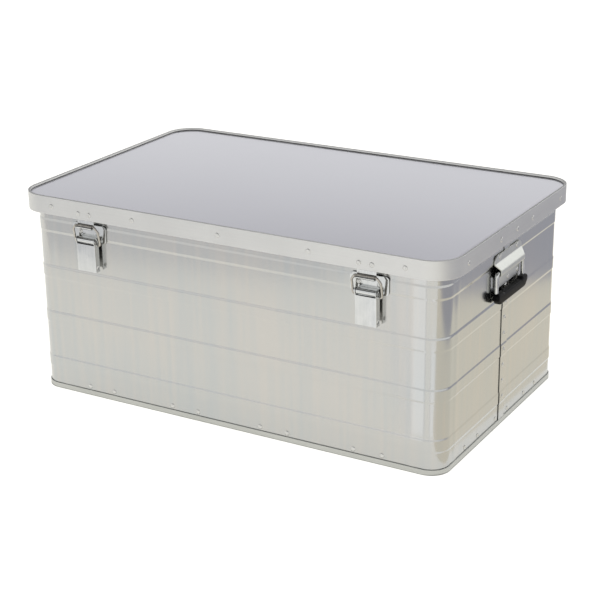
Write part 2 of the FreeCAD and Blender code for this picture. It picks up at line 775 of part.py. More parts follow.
def latch_lever(hand, place):
    """A channel with its face outwards, two cheeks on the pivot and a padlock hole."""
    body = new_body(f"latch_lever_{hand}")
    back = "lever_face - lever_depth"
    channel = rectangle(body, f"lever_channel_{hand}", "YZ_Plane",
                        (front(back), "lever_bottom"), (front("lever_face"), "lever_top"), place)
    pad(body, channel, "lever_width", middle=True)
    pivot = (front("pivot_standoff"), "pivot_height")
    ear = circle(body, f"lever_ear_{hand}", "YZ_Plane", pivot, "lever_ear_radius", place)
    pad(body, ear, "lever_width", middle=True)
    neck = rectangle(body, f"lever_neck_{hand}", "YZ_Plane",
                     (front("pivot_standoff - lever_ear_radius"), "lever_top"),
                     (front("pivot_standoff + lever_face_ahead"), "pivot_height"), place)
    pad(body, neck, "lever_width", middle=True)
    inside = outline(body, f"lever_inside_{hand}", "YZ_Plane", [
        (front("0"), "lever_bottom - lever_thickness"),
        (front("lever_face - lever_thickness"), "lever_bottom - lever_thickness"),
        (front("lever_face - lever_thickness"), "lever_top"),
        (front("pivot_standoff + 2 * lever_ear_radius"), "lever_top"),
        (front("pivot_standoff + 2 * lever_ear_radius"), "pivot_height + 2 * lever_ear_radius"),
        (front("0"), "pivot_height + 2 * lever_ear_radius"),
    ], place)
    pocket(body, inside, "lever_cheek_gap", middle=True)
    holes = {
        "pivot": (pivot, "pivot_pin_radius + run_gap"),
        "sleeve": ((front("bail_pivot_standoff"), "bail_pivot_height"), "sleeve_radius + run_gap"),
        "padlock": ((front("lever_face - lever_depth / 2"), "lever_bottom + padlock_hole_rise"),
                    "padlock_hole_radius"),
    }
    for name, (centre, radius) in holes.items():
        hole = circle(body, f"lever_{name}_hole_{hand}", "YZ_Plane", centre, radius, place)
        pocket(body, hole, "2 * lever_width", middle=True)
    keep(f"latch_lever_{hand}", body)


def latch_bail_sleeve(hand, place):
    """A tube across the lever that the bail's toes turn in."""
    centre = (place, front("bail_pivot_standoff"), "bail_pivot_height")
    length = "lever_width + 2 * sleeve_overhang"
    tube = x_cylinder(f"bail_sleeve_{hand}_tube", "sleeve_radius", length, centre)
    bore = x_cylinder(f"bail_sleeve_{hand}_bore", "bail_wire_radius + run_gap", f"2 * ({length})", centre)
    keep(f"latch_bail_sleeve_{hand}", boolean("Cut", f"bail_sleeve_{hand}_hollow", tube, bore))


def bent_wire(corners, bend, radius):
    """A round wire along straight runs whose inner corners are rounded to one radius."""
    edges = []
    start = corners[0]
    for before, corner, after in zip(corners, corners[1:], corners[2:]):
        to_before = (before - corner).normalize()
        to_after = (after - corner).normalize()
        half = to_before.getAngle(to_after) / 2
        reach = bend / math.tan(half)
        middle = corner + (to_before + to_after).normalize() * (bend / math.sin(half) - bend)
        arc_start, arc_end = corner + to_before * reach, corner + to_after * reach
        edges.append(Part.makeLine(start, arc_start))
        edges.append(Part.Arc(arc_start, middle, arc_end).toShape())
        start = arc_end
    edges.append(Part.makeLine(start, corners[-1]))
    path = Part.Wire(edges)
    section = Part.Wire([Part.makeCircle(radius, corners[0], corners[1] - corners[0])])
    return path.makePipeShell([section], True, False)


def latch_bail(hand, place):
    """A wire loop: toes in the sleeve, legs outside the cheeks and a bar in the catch."""
    centre = size(place)
    foot = point("0", front("bail_pivot_standoff"), "bail_pivot_height")
    rise = point("0", front("bail_top_standoff"), "bail_top_height") - foot
    length = rise.Length
    shape = [(size("bail_toe"), 0), (size("bail_foot_width") / 2, 0),
             (size("bail_foot_width") / 2, length - size("bail_shoulder")),
             (size("bail_top_width") / 2, length)]
    half = [Vector(across, 0, 0) + foot + rise * (up / length) for across, up in shape]
    other = [Vector(-spot.x, spot.y, spot.z) for spot in reversed(half)]
    corners = [spot + X_AXIS * centre for spot in half + other]
    bail = doc.addObject("Part::Feature", f"latch_bail_{hand}")
    bail.Shape = bent_wire(corners, size("bail_bend_radius"), size("bail_wire_radius"))
    keep(f"latch_bail_{hand}", bail)


def latch_catch(hand, place):
    """A plate riveted inside the skirt that hangs below it and turns up into a hook."""
    body = new_body(f"latch_catch_{hand}_blank")
    lip = "bail_top_standoff + bail_wire_radius + catch_lip_play"
    floor = "bail_top_height - bail_wire_radius - catch_floor_play"
    top = "skirt_bottom + catch_rivet_rise + catch_plate_height / 2"
    lip_top = "bail_top_height - catch_lip_drop"
    profile = outline(body, f"catch_profile_{hand}", "YZ_Plane", [
        (front("catch_back"), top),
        (front("catch_back"), f"{floor} - catch_lip_thickness"),
        (front(f"{lip} + catch_lip_thickness"), f"{floor} - catch_lip_thickness"),
        (front(f"{lip} + catch_lip_thickness"), lip_top),
        (front(lip), lip_top),
        (front(lip), floor),
        (front("catch_back + catch_thickness"), floor),
        (front("catch_back + catch_thickness"), top),
    ], place)
    pad(body, profile, "catch_width", middle=True)
    drilled(f"latch_catch_{hand}", body, [catch_drill])


for hand, place in (("left", "-latch_position"), ("right", "latch_position")):
    latch_base_plate(hand, place)
    latch_pivot_pin(hand, place)
    latch_lever(hand, place)
    latch_bail_sleeve(hand, place)
    latch_bail(hand, place)
    latch_catch(hand, place)


# Drop handles

def handle_plate(hand, sign):
    """A plate pressed out into a tunnel that holds the handle's rod."""
    body = new_body(f"handle_plate_{hand}_blank")
    tunnel_top = "handle_axis_height + tunnel_rise"
    tunnel_bottom = "handle_axis_height - tunnel_fall"
    bend = "handle_plate_thickness"
    flats = {
        "head": (tunnel_top, "handle_plate_top", "handle_plate_width"),
        "foot": ("handle_plate_bottom", tunnel_bottom, "handle_foot_width"),
    }
    for name, (low, high, width) in flats.items():
        flat = rectangle(body, f"handle_{name}_{hand}", "XZ_Plane",
                         (side(sign, "handle_back"), low), (side(sign, "handle_face"), high))
        pad(body, flat, width, middle=True)
    outer = "tunnel_inside + handle_plate_thickness"
    crown = "rod_radius + free_gap"
    tunnel = outline(body, f"handle_tunnel_{hand}", "XZ_Plane", [
        (side(sign, "handle_back"), f"{tunnel_top} + {bend}"),
        (side(sign, "handle_back"), f"{tunnel_top} - {bend}"),
        (side(sign, "tunnel_inside"), f"handle_axis_height + {crown} - {bend} / 2"),
        (side(sign, "tunnel_inside"), f"handle_axis_height - {crown} + {bend} / 2"),
        (side(sign, "handle_back"), f"{tunnel_bottom} + {bend}"),
        (side(sign, "handle_back"), f"{tunnel_bottom} - {bend}"),
        (side(sign, "handle_face"), f"{tunnel_bottom} - {bend}"),
        (side(sign, outer), f"handle_axis_height - {crown}"),
        (side(sign, outer), f"handle_axis_height + {crown}"),
        (side(sign, "handle_face"), f"{tunnel_top} + {bend}"),
    ])
    pad(body, tunnel, "tunnel_width", middle=True)
    drilled(f"handle_plate_{hand}", body, [handle_drill])


def rod_shape(sign, radius):
    """The handle's rod: through the tunnel, down both arms and along the grip."""
    across = side(sign, "rod_standoff")
    high = "handle_axis_height"
    low = "grip_bottom + grip_bar_height / 2"
    half = "rod_spacing / 2"
    corners = [point(across, "0", high), point(across, half, high), point(across, half, low),
               point(across, f"-{half}", low), point(across, f"-{half}", high), point(across, "0", high)]
    return bent_wire(corners, size("rod_bend_radius"), radius)


def handle_rod(hand, sign):
    rod = doc.addObject("Part::Feature", f"handle_rod_{hand}")
    rod.Shape = rod_shape(sign, size("rod_radius"))
    keep(f"handle_rod_{hand}", rod)


def handle_grip(hand, sign):
    """A moulded grip along the lower run, turned up round the foot of each arm."""
    body = new_body(f"handle_grip_{hand}_blank")
    half = "grip_width / 2"
    inner = "grip_width / 2 - grip_end_width"
    corner = "grip_corner_radius"
    start = side(sign, "grip_back_standoff")
    bar_top = "grip_bottom + grip_bar_height"
    end_top = "grip_bottom + grip_end_height"
    profile = outline(body, f"grip_profile_{hand}", "YZ_Plane", [
        (f"-({half}) + {corner}", "grip_bottom"),
        (f"{half} - {corner}", "grip_bottom"),
        (half, f"grip_bottom + {corner}"),
        (half, end_top),
        (inner, end_top),
        (f"{inner} - grip_end_height + grip_bar_height", bar_top),
        (f"-({inner} - grip_end_height + grip_bar_height)", bar_top),
        (f"-({inner})", end_top),
        (f"-({half})", end_top),
        (f"-({half})", f"grip_bottom + {corner}"),
    ], start)
    block = pad(body, profile, "grip_thickness", backwards=sign < 0)
    doc.recompute()
    rounding = body.newObject("PartDesign::Fillet", f"grip_rounding_{hand}")
    face = size(side(sign, "grip_back_standoff + grip_thickness"))
    names = [f"Edge{index + 1}" for index, edge in enumerate(block.Shape.Edges)
             if max(abs(edge.BoundBox.XMin - face), abs(edge.BoundBox.XMax - face)) < 1e-6]
    rounding.Base = (block, names)
    rounding.setExpression("Radius", formula("grip_round"))
    channel = doc.addObject("Part::Feature", f"grip_channel_{hand}")
    channel.Shape = rod_shape(sign, size("rod_radius + seat_gap"))
    keep(f"handle_grip_{hand}", boolean("Cut", f"grip_moulding_{hand}", body, channel))


for hand, sign in (("left", -1), ("right", 1)):
    handle_plate(hand, sign)
    handle_rod(hand, sign)
    handle_grip(hand, sign)


# Hinges

def hinge_body_leaf(hand, place):
    """A leaf on the rear wall with a shelf out to the two end knuckles."""
    body = new_body(f"hinge_body_leaf_{hand}_blank")
    face = "crest + hinge_leaf_thickness"
    shelf = "hinge_height - hinge_knuckle_radius"
    leaf = rectangle(body, f"hinge_leaf_{hand}", "YZ_Plane",
                     (rear("crest"), f"{shelf} - hinge_leaf_reach"),
                     (rear(face), f"{shelf} + hinge_leaf_thickness"), place)
    pad(body, leaf, "hinge_length", middle=True)
    centre = (rear("hinge_standoff"), "hinge_height")
    end_length = "(hinge_length - hinge_knuckle_length) / 2 - hinge_knuckle_gap"
    for sign, end in ((1, "right"), (-1, "left")):
        middle = f"{place} + {sign} * (hinge_length - ({end_length})) / 2"
        arm = rectangle(body, f"hinge_shelf_{hand}_{end}", "YZ_Plane", (rear("crest"), shelf),
                        (rear("hinge_standoff"), f"{shelf} + hinge_leaf_thickness"), middle)
        pad(body, arm, end_length, middle=True)
        knuckle = circle(body, f"hinge_knuckle_{hand}_{end}", "YZ_Plane", centre, "hinge_knuckle_radius",
                         middle)
        pad(body, knuckle, end_length, middle=True)
    bore = circle(body, f"hinge_bore_{hand}", "YZ_Plane", centre, "hinge_pin_radius + run_gap", place)
    pocket(body, bore, "2 * hinge_length", middle=True)
    drilled(f"hinge_body_leaf_{hand}", body, [hinge_body_drill])


def hinge_lid_leaf(hand, place):
    """A leaf on the lid's rear skirt with the middle knuckle."""
    body = new_body(f"hinge_lid_leaf_{hand}_blank")
    inside = "overhang + seat_gap"
    leaf = rectangle(body, f"hinge_lid_plate_{hand}", "YZ_Plane",
                     (rear(inside), "hinge_height + hinge_knuckle_radius + free_gap"),
                     (rear(f"{inside} + hinge_leaf_thickness"), "skirt_bottom + hinge_lid_reach"), place)
    pad(body, leaf, "hinge_length", middle=True)
    neck = rectangle(body, f"hinge_lid_neck_{hand}", "YZ_Plane",
                     (rear(inside), "hinge_height"),
                     (rear(f"{inside} + hinge_leaf_thickness"), "skirt_bottom + hinge_lid_reach"), place)
    pad(body, neck, "hinge_knuckle_length", middle=True)
    centre = (rear("hinge_standoff"), "hinge_height")
    knuckle = circle(body, f"hinge_lid_knuckle_{hand}", "YZ_Plane", centre, "hinge_knuckle_radius", place)
    pad(body, knuckle, "hinge_knuckle_length", middle=True)
    bore = circle(body, f"hinge_lid_bore_{hand}", "YZ_Plane", centre, "hinge_pin_radius + run_gap", place)
    pocket(body, bore, "2 * hinge_length", middle=True)
    drilled(f"hinge_lid_leaf_{hand}", body, [hinge_lid_drill])


def hinge_pin(hand, place):
    """A pin through the knuckles with a peened head at each end."""
    centre = (place, rear("hinge_standoff"), "hinge_height")
    reach = "hinge_length + 2 * hinge_knuckle_gap"
    solid = x_cylinder(f"hinge_pin_{hand}_shank", "hinge_pin_radius",
                       f"{reach} + 2 * hinge_pin_head_height", centre)
    for sign in (1, -1):
        middle = f"{place} + {sign} * ({reach} + hinge_pin_head_height) / 2"
        head = x_cylinder(f"hinge_pin_{hand}_head_{sign + 1}", "hinge_pin_head_radius",
                          "hinge_pin_head_height", (middle,) + centre[1:])
        solid = boolean("Fuse", f"hinge_pin_{hand}_with_head_{sign + 1}", solid, head)
    keep(f"hinge_pin_{hand}", solid)


for hand, place in (("left", "-hinge_position"), ("right", "hinge_position")):
    hinge_body_leaf(hand, place)
    hinge_lid_leaf(hand, place)
    hinge_pin(hand, place)


# Checks before anything is written

doc.recompute()
for item in doc.Objects:
    if "Invalid" in item.State or "Error" in item.State:
        raise RuntimeError(f"{item.Name} failed: {item.State}")
for label, piece in pieces.items():
    shape = piece.Shape
    if shape.isNull() or not shape.isValid() or not shape.Solids:
        raise RuntimeError(f"{label} has no valid solid")
    print(f"{label}: {len(shape.Solids)} solids, {shape.Volume / 1000:.2f} cm3")

os.makedirs("parts", exist_ok=True)
for label, piece in pieces.items():
    piece.Shape.exportStep(f"parts/{label}.step")
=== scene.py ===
"""Sheet-aluminium flight case: the looks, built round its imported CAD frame.

Sizes are in millimetres, as in the part's source, and become metres as each mesh is made.
"""
import math

import bmesh
import bpy
from mathutils import Matrix, Vector


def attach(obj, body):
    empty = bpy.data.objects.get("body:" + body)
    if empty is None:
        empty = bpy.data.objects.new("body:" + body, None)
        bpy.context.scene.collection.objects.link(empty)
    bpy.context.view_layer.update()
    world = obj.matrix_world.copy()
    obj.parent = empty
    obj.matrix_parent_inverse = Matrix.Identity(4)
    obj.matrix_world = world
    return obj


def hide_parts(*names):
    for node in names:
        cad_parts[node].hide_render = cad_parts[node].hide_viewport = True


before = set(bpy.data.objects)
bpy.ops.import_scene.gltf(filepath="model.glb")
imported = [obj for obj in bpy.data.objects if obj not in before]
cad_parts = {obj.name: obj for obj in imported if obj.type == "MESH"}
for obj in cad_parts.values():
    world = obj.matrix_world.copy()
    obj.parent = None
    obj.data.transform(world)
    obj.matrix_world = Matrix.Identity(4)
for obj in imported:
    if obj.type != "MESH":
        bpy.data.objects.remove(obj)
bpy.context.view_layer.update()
scene = bpy.context.scene

MM = 0.001

# Whole case
LID_HALF_LENGTH = 291
LID_HALF_WIDTH = 182
CASE_HEIGHT = 258
SKIRT_BOTTOM = 235.5
OVERHANG = 12.3
LID_CORNER = 35
BODY_CORNER = 23
BODY_HALF_LENGTH = LID_HALF_LENGTH - OVERHANG
BODY_HALF_WIDTH = LID_HALF_WIDTH - OVERHANG
SEAT_GAP = 0.05

# Walls
SHEET = 0.8
WALL_BOTTOM = 1.55
WALL_TOP = 248.9
SWAGE_DEPTH = 0.65
SWAGE_HEIGHT = 17.5
SWAGE_FLANK = 2.5
SWAGE_BEND = 3.0
SWAGE_PITCH = 60.5
FIRST_SWAGE = 35.3
SWAGES = 4
LAP_STANDOFF = SHEET + SEAT_GAP
LAP_END = -10
LAP_START = 6.3
LAP_BOTTOM = 7.05
JOGGLE_END = 9.0
JOGGLE_BEND = 0.8
FRONT_SHEET_END = 6.0
# Bending leaves the sheet slightly proud just before each corner: distance from the bend, and how proud.
BEND_SPRING = ((20, 0), (17, 0.1), (14, 0.2), (11, 0.2), (8.5, 0.1), (6, 0), (1.5, 0))

# Base and rim profiles
BASE_FACE = 1.35
BASE_TOP = 7
BASE_FLANGE = 1.5
BASE_REACH = 12
RIM_TOP = 250.45
RIM_FACE = 4
RIM_THICKNESS = 1.5
RIM_INNER = 2.35
RIM_DEPTH = 7.5

# Lid
SKIRT_THICKNESS = 1.8
LIP_WIDTH = 2.8
LIP_FOOT_WIDTH = 3.5
LIP_FOOT = 255.95
LIP_UNDER = 255.7
PANEL_TOP = 255.65
PANEL_UNDER = 254.15
PANEL_INSET = 1.85
PANEL_FLANGE_END = 238.15
PANEL_THICKNESS = 1.5
PANEL_BEND = 1.4
PANEL_RINGS = (174, 150, 110, 70, 40, 20, 8)
SEAL_BOTTOM = 250.65
SEAL_TOP = 254.1
SEAL_OUTER = 4
SEAL_INNER = 2

# Latches
LATCH_PLACE = 190
PIVOT_HEIGHT = 209.5
LEVER_WIDTH = 27
LEVER_FACE = 11.5
LEVER_FOLD = 1.0
LATCH_PLATE_HALF = 24
LATCH_PLATE_FACE = 2.55
LATCH_PLATE_ENDS = (206, 228)
HOOK_HALF = 12
HOOK_THICKNESS = 1.4
HOOK_TOP = 249.3
HOOK_BACK = 8.9
HOOK_SEAT = 225.9
HOOK_FACE = 13.5
HOOK_TIP = 227.5
HOOK_BEND = 2.0
BAIL_RADIUS = 1.4
BAIL_BEND = 3
BAIL_STANDOFF = 6.14
BAIL_HEIGHT = 204.25
BAIL_GAP = 6
BAIL_HALF = 18
BAIL_SHOULDER = 6
BAIL_TOP_HALF = 13.5
BAIL_TOP_STANDOFF = 10.9
BAIL_TOP_HEIGHT = 228

# Handles
HANDLE_AXIS = 201.5
ROD_STANDOFF = 4.8
ROD_PLACE = 38.5
ROD_RADIUS = 2.5
ROD_BEND = 5
PLATE_FACE = 2.4
PLATE_HEAD = 221.5
PLATE_FOOT = 180.5
PLATE_THICKNESS = 1.5
TUNNEL_THICKNESS = 1.4
TUNNEL_FACE = 9.1
# Each row holds a height and the plate's half width above it.
PLATE_HALVES = ((209.5, 39), (206.5, 37.8), (198, 34.6), (0, 34))
GRIP_BOTTOM = 164
GRIP_BAR = 12
GRIP_HALF = 43.5
GRIP_INNER = 29.5
GRIP_END = 14
GRIP_BACK = 2.4
GRIP_FACE = 10.4

# Hinges
HINGE_PLACE = 190
LEAF_HALF = 30
LEAF_BOTTOM = 202
LEAF_FACE = 2.65
STRAP_TOP = 253.5
STRAP_FACE = 1.65

# Rivets
ROUND_SIDES = 20
HEAD_RADIUS = 3
HEAD_HEIGHT = 1.1
DIMPLE_RADIUS = 0.9
DIMPLE_DEPTH = 0.45
SHANK_RADIUS = 1.6
TAIL_RADIUS = 2.2
TAIL_HEIGHT = 1.0
BASE_RIVET_HEIGHT = 11.5
FRONT_PAIR_PLACE = 187
FRONT_PAIR_HALF = 18.5
SIDE_PAIR_PLACE = 87
SIDE_PAIR_HALF = 18
SEAM_RIVETS = 8
RIVETS_PER_SWAGE = 3
FRAME_RIVET_HEIGHT = SKIRT_BOTTOM + 10.5
FRAME_FRONT_PLACES = (119, 238)
FRAME_SIDE_PLACES = (46, 134.5)
CATCH_RIVET_HEIGHT = SKIRT_BOTTOM + 7.5
CATCH_RIVET_HALF = 8
LATCH_RIVET_HEIGHT = PIVOT_HEIGHT + 8
LATCH_RIVET_HALF = 12.5
PLATE_HEAD_RIVET = 217.8
PLATE_HEAD_HALF = 24.5
PLATE_FOOT_RIVET = 186.8
PLATE_FOOT_HALF = 28
LEAF_RIVET_HEIGHT = 212.5
LEAF_RIVET_HALF = 20


# Nodes, objects and meshes

def put(tree, kind, links=None, **settings):
    """Add a node, give it its settings, and set or link its inputs by name or place."""
    node = tree.nodes.new(kind)
    for name, value in settings.items():
        setattr(node, name, value)
    for name, value in (links or {}).items():
        if isinstance(value, bpy.types.NodeSocket):
            tree.links.new(value, node.inputs[name])
        else:
            node.inputs[name].default_value = value
    return node


def new_tree(name, inputs):
    """A geometry tree with named inputs, and its group input node."""
    tree = bpy.data.node_groups.new(name, "GeometryNodeTree")
    tree.interface.new_socket("Geometry", in_out="INPUT", socket_type="NodeSocketGeometry")
    for label, kind in inputs.items():
        tree.interface.new_socket(label, in_out="INPUT", socket_type=f"NodeSocket{kind}")
    tree.interface.new_socket("Geometry", in_out="OUTPUT", socket_type="NodeSocketGeometry")
    return tree, put(tree, "NodeGroupInput").outputs


def close_tree(tree, geometry, material):
    """End a tree as the export needs it: real geometry with its material set."""
    real = put(tree, "GeometryNodeRealizeInstances", {"Geometry": geometry})
    finish = put(tree, "GeometryNodeSetMaterial", {"Geometry": real.outputs[0], "Material": material})
    put(tree, "NodeGroupOutput", {"Geometry": finish.outputs[0]})


def new_object(name, mesh):
    """An object in the scene that holds a mesh, a light or a camera."""
    piece = bpy.data.objects.new(name, mesh)
    scene.collection.objects.link(piece)
    return piece


def line_object(name, points, closed):
    """A line through points in millimetres, as the edges of a mesh."""
    count = len(points)
    edges = [(index, index + 1) for index in range(count - 1)]
    if closed:
        edges.append((count - 1, 0))
    mesh = bpy.data.meshes.new(name)
    mesh.from_pydata([Vector(spot).to_3d() * MM for spot in points], edges, [])
    return new_object(name, mesh)


def smooth_shaded(mesh, sharp_angle=38):
    """Shade a mesh smooth, apart from edges sharper than an angle."""
    mesh.shade_smooth()
    mesh.set_sharp_from_angle(angle=math.radians(sharp_angle))


def settle(piece):
    """Turn a piece and its modifiers into one plain mesh."""
    depsgraph = bpy.context.evaluated_depsgraph_get()
    mesh = bpy.data.meshes.new_from_object(piece.evaluated_get(depsgraph))
    piece.modifiers.clear()
    old = piece.data
    piece.data = mesh
    mesh.name = piece.name
    bpy.data.meshes.remove(old)
    return piece


def grow(piece, tree, inputs):
    """Run a geometry tree on a piece, with its inputs set by their identifiers."""
    modifier = piece.modifiers.new(tree.name, "NODES")
    modifier.node_group = tree
    for item in tree.interface.items_tree:
        if item.in_out == "INPUT" and item.name in inputs:
            modifier[item.identifier] = inputs[item.name]
    return settle(piece)


def outward_faces(mesh):
    """Weld a closed mesh and turn its faces outwards."""
    shape = bmesh.new()
    shape.from_mesh(mesh)
    bmesh.ops.remove_doubles(shape, verts=shape.verts, dist=1e-6)
    bmesh.ops.recalc_face_normals(shape, faces=shape.faces)
    shape.to_mesh(mesh)
    shape.free()


def dress(piece, body, slot, *nodes):
    """Say which body a piece rides on and the CAD nodes that it stands for, which are hidden; its slot is not
    used.
    """
    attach(piece, body)
    if nodes:
        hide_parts(*nodes)
    return piece


# Lines

def rounded(corners, steps, closed=True, leads=()):
    """Points through corners, each a point and a radius.

    leads are rows of a distance from each arc and how proud the line stands there, the farthest first.
    """
    points = []
    last = len(corners) - 1
    for index, (corner, radius) in enumerate(corners):
        if radius == 0 or (not closed and index in (0, last)):
            points.append(corner)
            continue
        before = (corners[index - 1][0] - corner).normalized()
        after = (corners[(index + 1) % (last + 1)][0] - corner).normalized()
        half = before.angle(after) / 2
        reach = radius / math.tan(half)
        centre = corner + (before + after).normalized() * (radius / math.sin(half))
        start = corner + before * reach - centre
        end = corner + after * reach - centre
        turn = math.pi - 2 * half
        for away, proud in leads:
            points.append(corner + before * (reach + away) + start.normalized() * proud)
        for step in range(steps + 1):
            share = step / steps
            arm = start * math.sin((1 - share) * turn) + end * math.sin(share * turn)
            points.append(centre + arm / math.sin(turn))
        for away, proud in reversed(leads):
            points.append(corner + after * (reach + away) + end.normalized() * proud)
    return points


def rounded_section(corners, steps=4, leads=((0.15, 0),)):
    """A closed section from rows of standoff, height and radius."""
    return rounded([(Vector((out, up)), radius) for out, up, radius in corners], steps, leads=leads)


def plan(half_length, half_width, radius, steps=16):
    """A rounded rectangle seen from above, anticlockwise."""
    signs = ((1, -1), (1, 1), (-1, 1), (-1, -1))
    corners = [(Vector((x * half_length, y * half_width)), radius) for x, y in signs]
    return rounded(corners, steps, leads=((1.5, 0),))


def lid_plan(inset):
    """The lid's outline seen from above, drawn in by a distance."""
    return plan(LID_HALF_LENGTH - inset, LID_HALF_WIDTH - inset, max(LID_CORNER - inset, 0.5))


def front_sheet_plan():
    """The front sheet from the left wall round to the right one, anticlockwise."""
    across, along = BODY_HALF_LENGTH, BODY_HALF_WIDTH
    corners = [(Vector((-across, FRONT_SHEET_END)), 0), (Vector((-across, -along)), BODY_CORNER),
               (Vector((across, -along)), BODY_CORNER), (Vector((across, FRONT_SHEET_END)), 0)]
    return rounded(corners, 20, closed=False, leads=BEND_SPRING)


def rear_sheet_plan():
    """The rear sheet with its two ends joggled out to lap over the front one."""
    across, along = BODY_HALF_LENGTH, BODY_HALF_WIDTH
    out = across + LAP_STANDOFF
    right = [(Vector((out, LAP_END)), 0), (Vector((out, LAP_START)), JOGGLE_BEND),
             (Vector((across, JOGGLE_END)), JOGGLE_BEND), (Vector((across, along)), BODY_CORNER)]
    left = [(Vector((-spot.x, spot.y)), radius) for spot, radius in reversed(right)]
    return rounded(right + left, 20, closed=False, leads=((0.4, 0),))


# Geometry trees

def section_tree():
    """Sweeps a level section along the line that the object holds."""
    tree, given = new_tree("section_along_path", {"Section": "Object", "Material": "Material"})
    path = put(tree, "GeometryNodeMeshToCurve", {"Mesh": given["Geometry"]})
    upright = put(tree, "GeometryNodeSetCurveNormal", {"Curve": path.outputs[0]}, mode="Z_UP")
    drawn = put(tree, "GeometryNodeObjectInfo", {"Object": given["Section"]})
    profile = put(tree, "GeometryNodeMeshToCurve", {"Mesh": drawn.outputs["Geometry"]})
    swept = put(tree, "GeometryNodeCurveToMesh",
                {"Curve": upright.outputs[0], "Profile Curve": profile.outputs[0], "Fill Caps": True})
    close_tree(tree, swept.outputs[0], given["Material"])
    return tree


def wire_tree():
    """A round wire along the line that the object holds."""
    tree, given = new_tree("wire_along_path",
                           {"Wire radius": "Float", "Sides": "Int", "Material": "Material"})
    path = put(tree, "GeometryNodeMeshToCurve", {"Mesh": given["Geometry"]})
    ring = put(tree, "GeometryNodeCurvePrimitiveCircle",
               {"Resolution": given["Sides"], "Radius": given["Wire radius"]})
    swept = put(tree, "GeometryNodeCurveToMesh",
                {"Curve": path.outputs[0], "Profile Curve": ring.outputs[0], "Fill Caps": True})
    close_tree(tree, swept.outputs[0], given["Material"])
    return tree


def rivet_tree():
    """A blind rivet on every point: a dished dome outside, a shank and a set tail inside."""
    tree, given = new_tree("rivets_on_points", {
        "Head radius": "Float", "Head height": "Float", "Dimple radius": "Float",
        "Dimple depth": "Float", "Shank radius": "Float", "Tail radius": "Float",
        "Tail height": "Float", "Stack": "Float", "Sides": "Int", "Material": "Material"})
    ball = put(tree, "GeometryNodeMeshUVSphere", {"Segments": given["Sides"], "Rings": 14, "Radius": 1.0})
    girth = put(tree, "ShaderNodeCombineXYZ", {
        "X": given["Head radius"], "Y": given["Head radius"], "Z": given["Head height"]})
    flat = put(tree, "GeometryNodeTransform", {"Geometry": ball.outputs[0], "Scale": girth.outputs[0]})
    spot = put(tree, "GeometryNodeInputPosition")
    parts = put(tree, "ShaderNodeSeparateXYZ", {0: spot.outputs[0]})
    under = put(tree, "FunctionNodeCompare", {"A": parts.outputs["Z"], "B": -1e-6}, operation="LESS_THAN")
    dome = put(tree, "GeometryNodeDeleteGeometry",
               {"Geometry": flat.outputs[0], "Selection": under.outputs[0]})
    level = put(tree, "ShaderNodeCombineXYZ", {"X": parts.outputs["X"], "Y": parts.outputs["Y"]})
    reach = put(tree, "ShaderNodeVectorMath", {0: level.outputs[0]}, operation="LENGTH")
    pit = put(tree, "FunctionNodeCompare", {"A": reach.outputs["Value"], "B": given["Dimple radius"]},
              operation="LESS_THAN")
    sink = put(tree, "ShaderNodeMath", {0: given["Dimple depth"], 1: -1.0}, operation="MULTIPLY")
    down = put(tree, "ShaderNodeCombineXYZ", {"Z": sink.outputs[0]})
    dished = put(tree, "GeometryNodeSetPosition", {
        "Geometry": dome.outputs[0], "Selection": pit.outputs[0], "Offset": down.outputs[0]})
    disc = put(tree, "GeometryNodeMeshCircle",
               {"Vertices": given["Sides"], "Radius": given["Head radius"]}, fill_type="NGON")
    seat = put(tree, "GeometryNodeFlipFaces", {"Mesh": disc.outputs[0]})
    head = put(tree, "GeometryNodeJoinGeometry", {"Geometry": dished.outputs[0]})
    tree.links.new(seat.outputs[0], head.inputs["Geometry"])
    welded = put(tree, "GeometryNodeMergeByDistance", {"Geometry": head.outputs[0], "Distance": 1e-6})
    shank = put(tree, "GeometryNodeMeshCylinder", {
        "Vertices": given["Sides"], "Radius": given["Shank radius"], "Depth": given["Stack"]})
    half = put(tree, "ShaderNodeMath", {0: given["Stack"], 1: -0.5}, operation="MULTIPLY")
    middle = put(tree, "ShaderNodeCombineXYZ", {"Z": half.outputs[0]})
    through = put(tree, "GeometryNodeTransform",
                  {"Geometry": shank.outputs["Mesh"], "Translation": middle.outputs[0]})
    tail = put(tree, "GeometryNodeMeshCylinder", {
        "Vertices": given["Sides"], "Radius": given["Tail radius"], "Depth": given["Tail height"]})
    half_tail = put(tree, "ShaderNodeMath", {0: given["Tail height"], 1: 0.5}, operation="MULTIPLY")
    depth = put(tree, "ShaderNodeMath", {0: given["Stack"], 1: half_tail.outputs[0]}, operation="ADD")
    below = put(tree, "ShaderNodeMath", {0: depth.outputs[0], 1: -1.0}, operation="MULTIPLY")
    inside = put(tree, "ShaderNodeCombineXYZ", {"Z": below.outputs[0]})
    set_tail = put(tree, "GeometryNodeTransform",
                   {"Geometry": tail.outputs["Mesh"], "Translation": inside.outputs[0]})
    rivet = put(tree, "GeometryNodeJoinGeometry", {"Geometry": welded.outputs[0]})
    tree.links.new(through.outputs[0], rivet.inputs["Geometry"])
    tree.links.new(set_tail.outputs[0], rivet.inputs["Geometry"])
    way = put(tree, "GeometryNodeInputNamedAttribute", {"Name": "outward"}, data_type="FLOAT_VECTOR")
    turn = put(tree, "FunctionNodeAlignRotationToVector", {"Vector": way.outputs[0]}, axis="Z")
    copies = put(tree, "GeometryNodeInstanceOnPoints", {
        "Points": given["Geometry"], "Instance": rivet.outputs[0], "Rotation": turn.outputs[0]})
    close_tree(tree, copies.outputs[0], given["Material"])
    return tree


SECTION_TREE = section_tree()
WIRE_TREE = wire_tree()
RIVET_TREE = rivet_tree()


# Materials

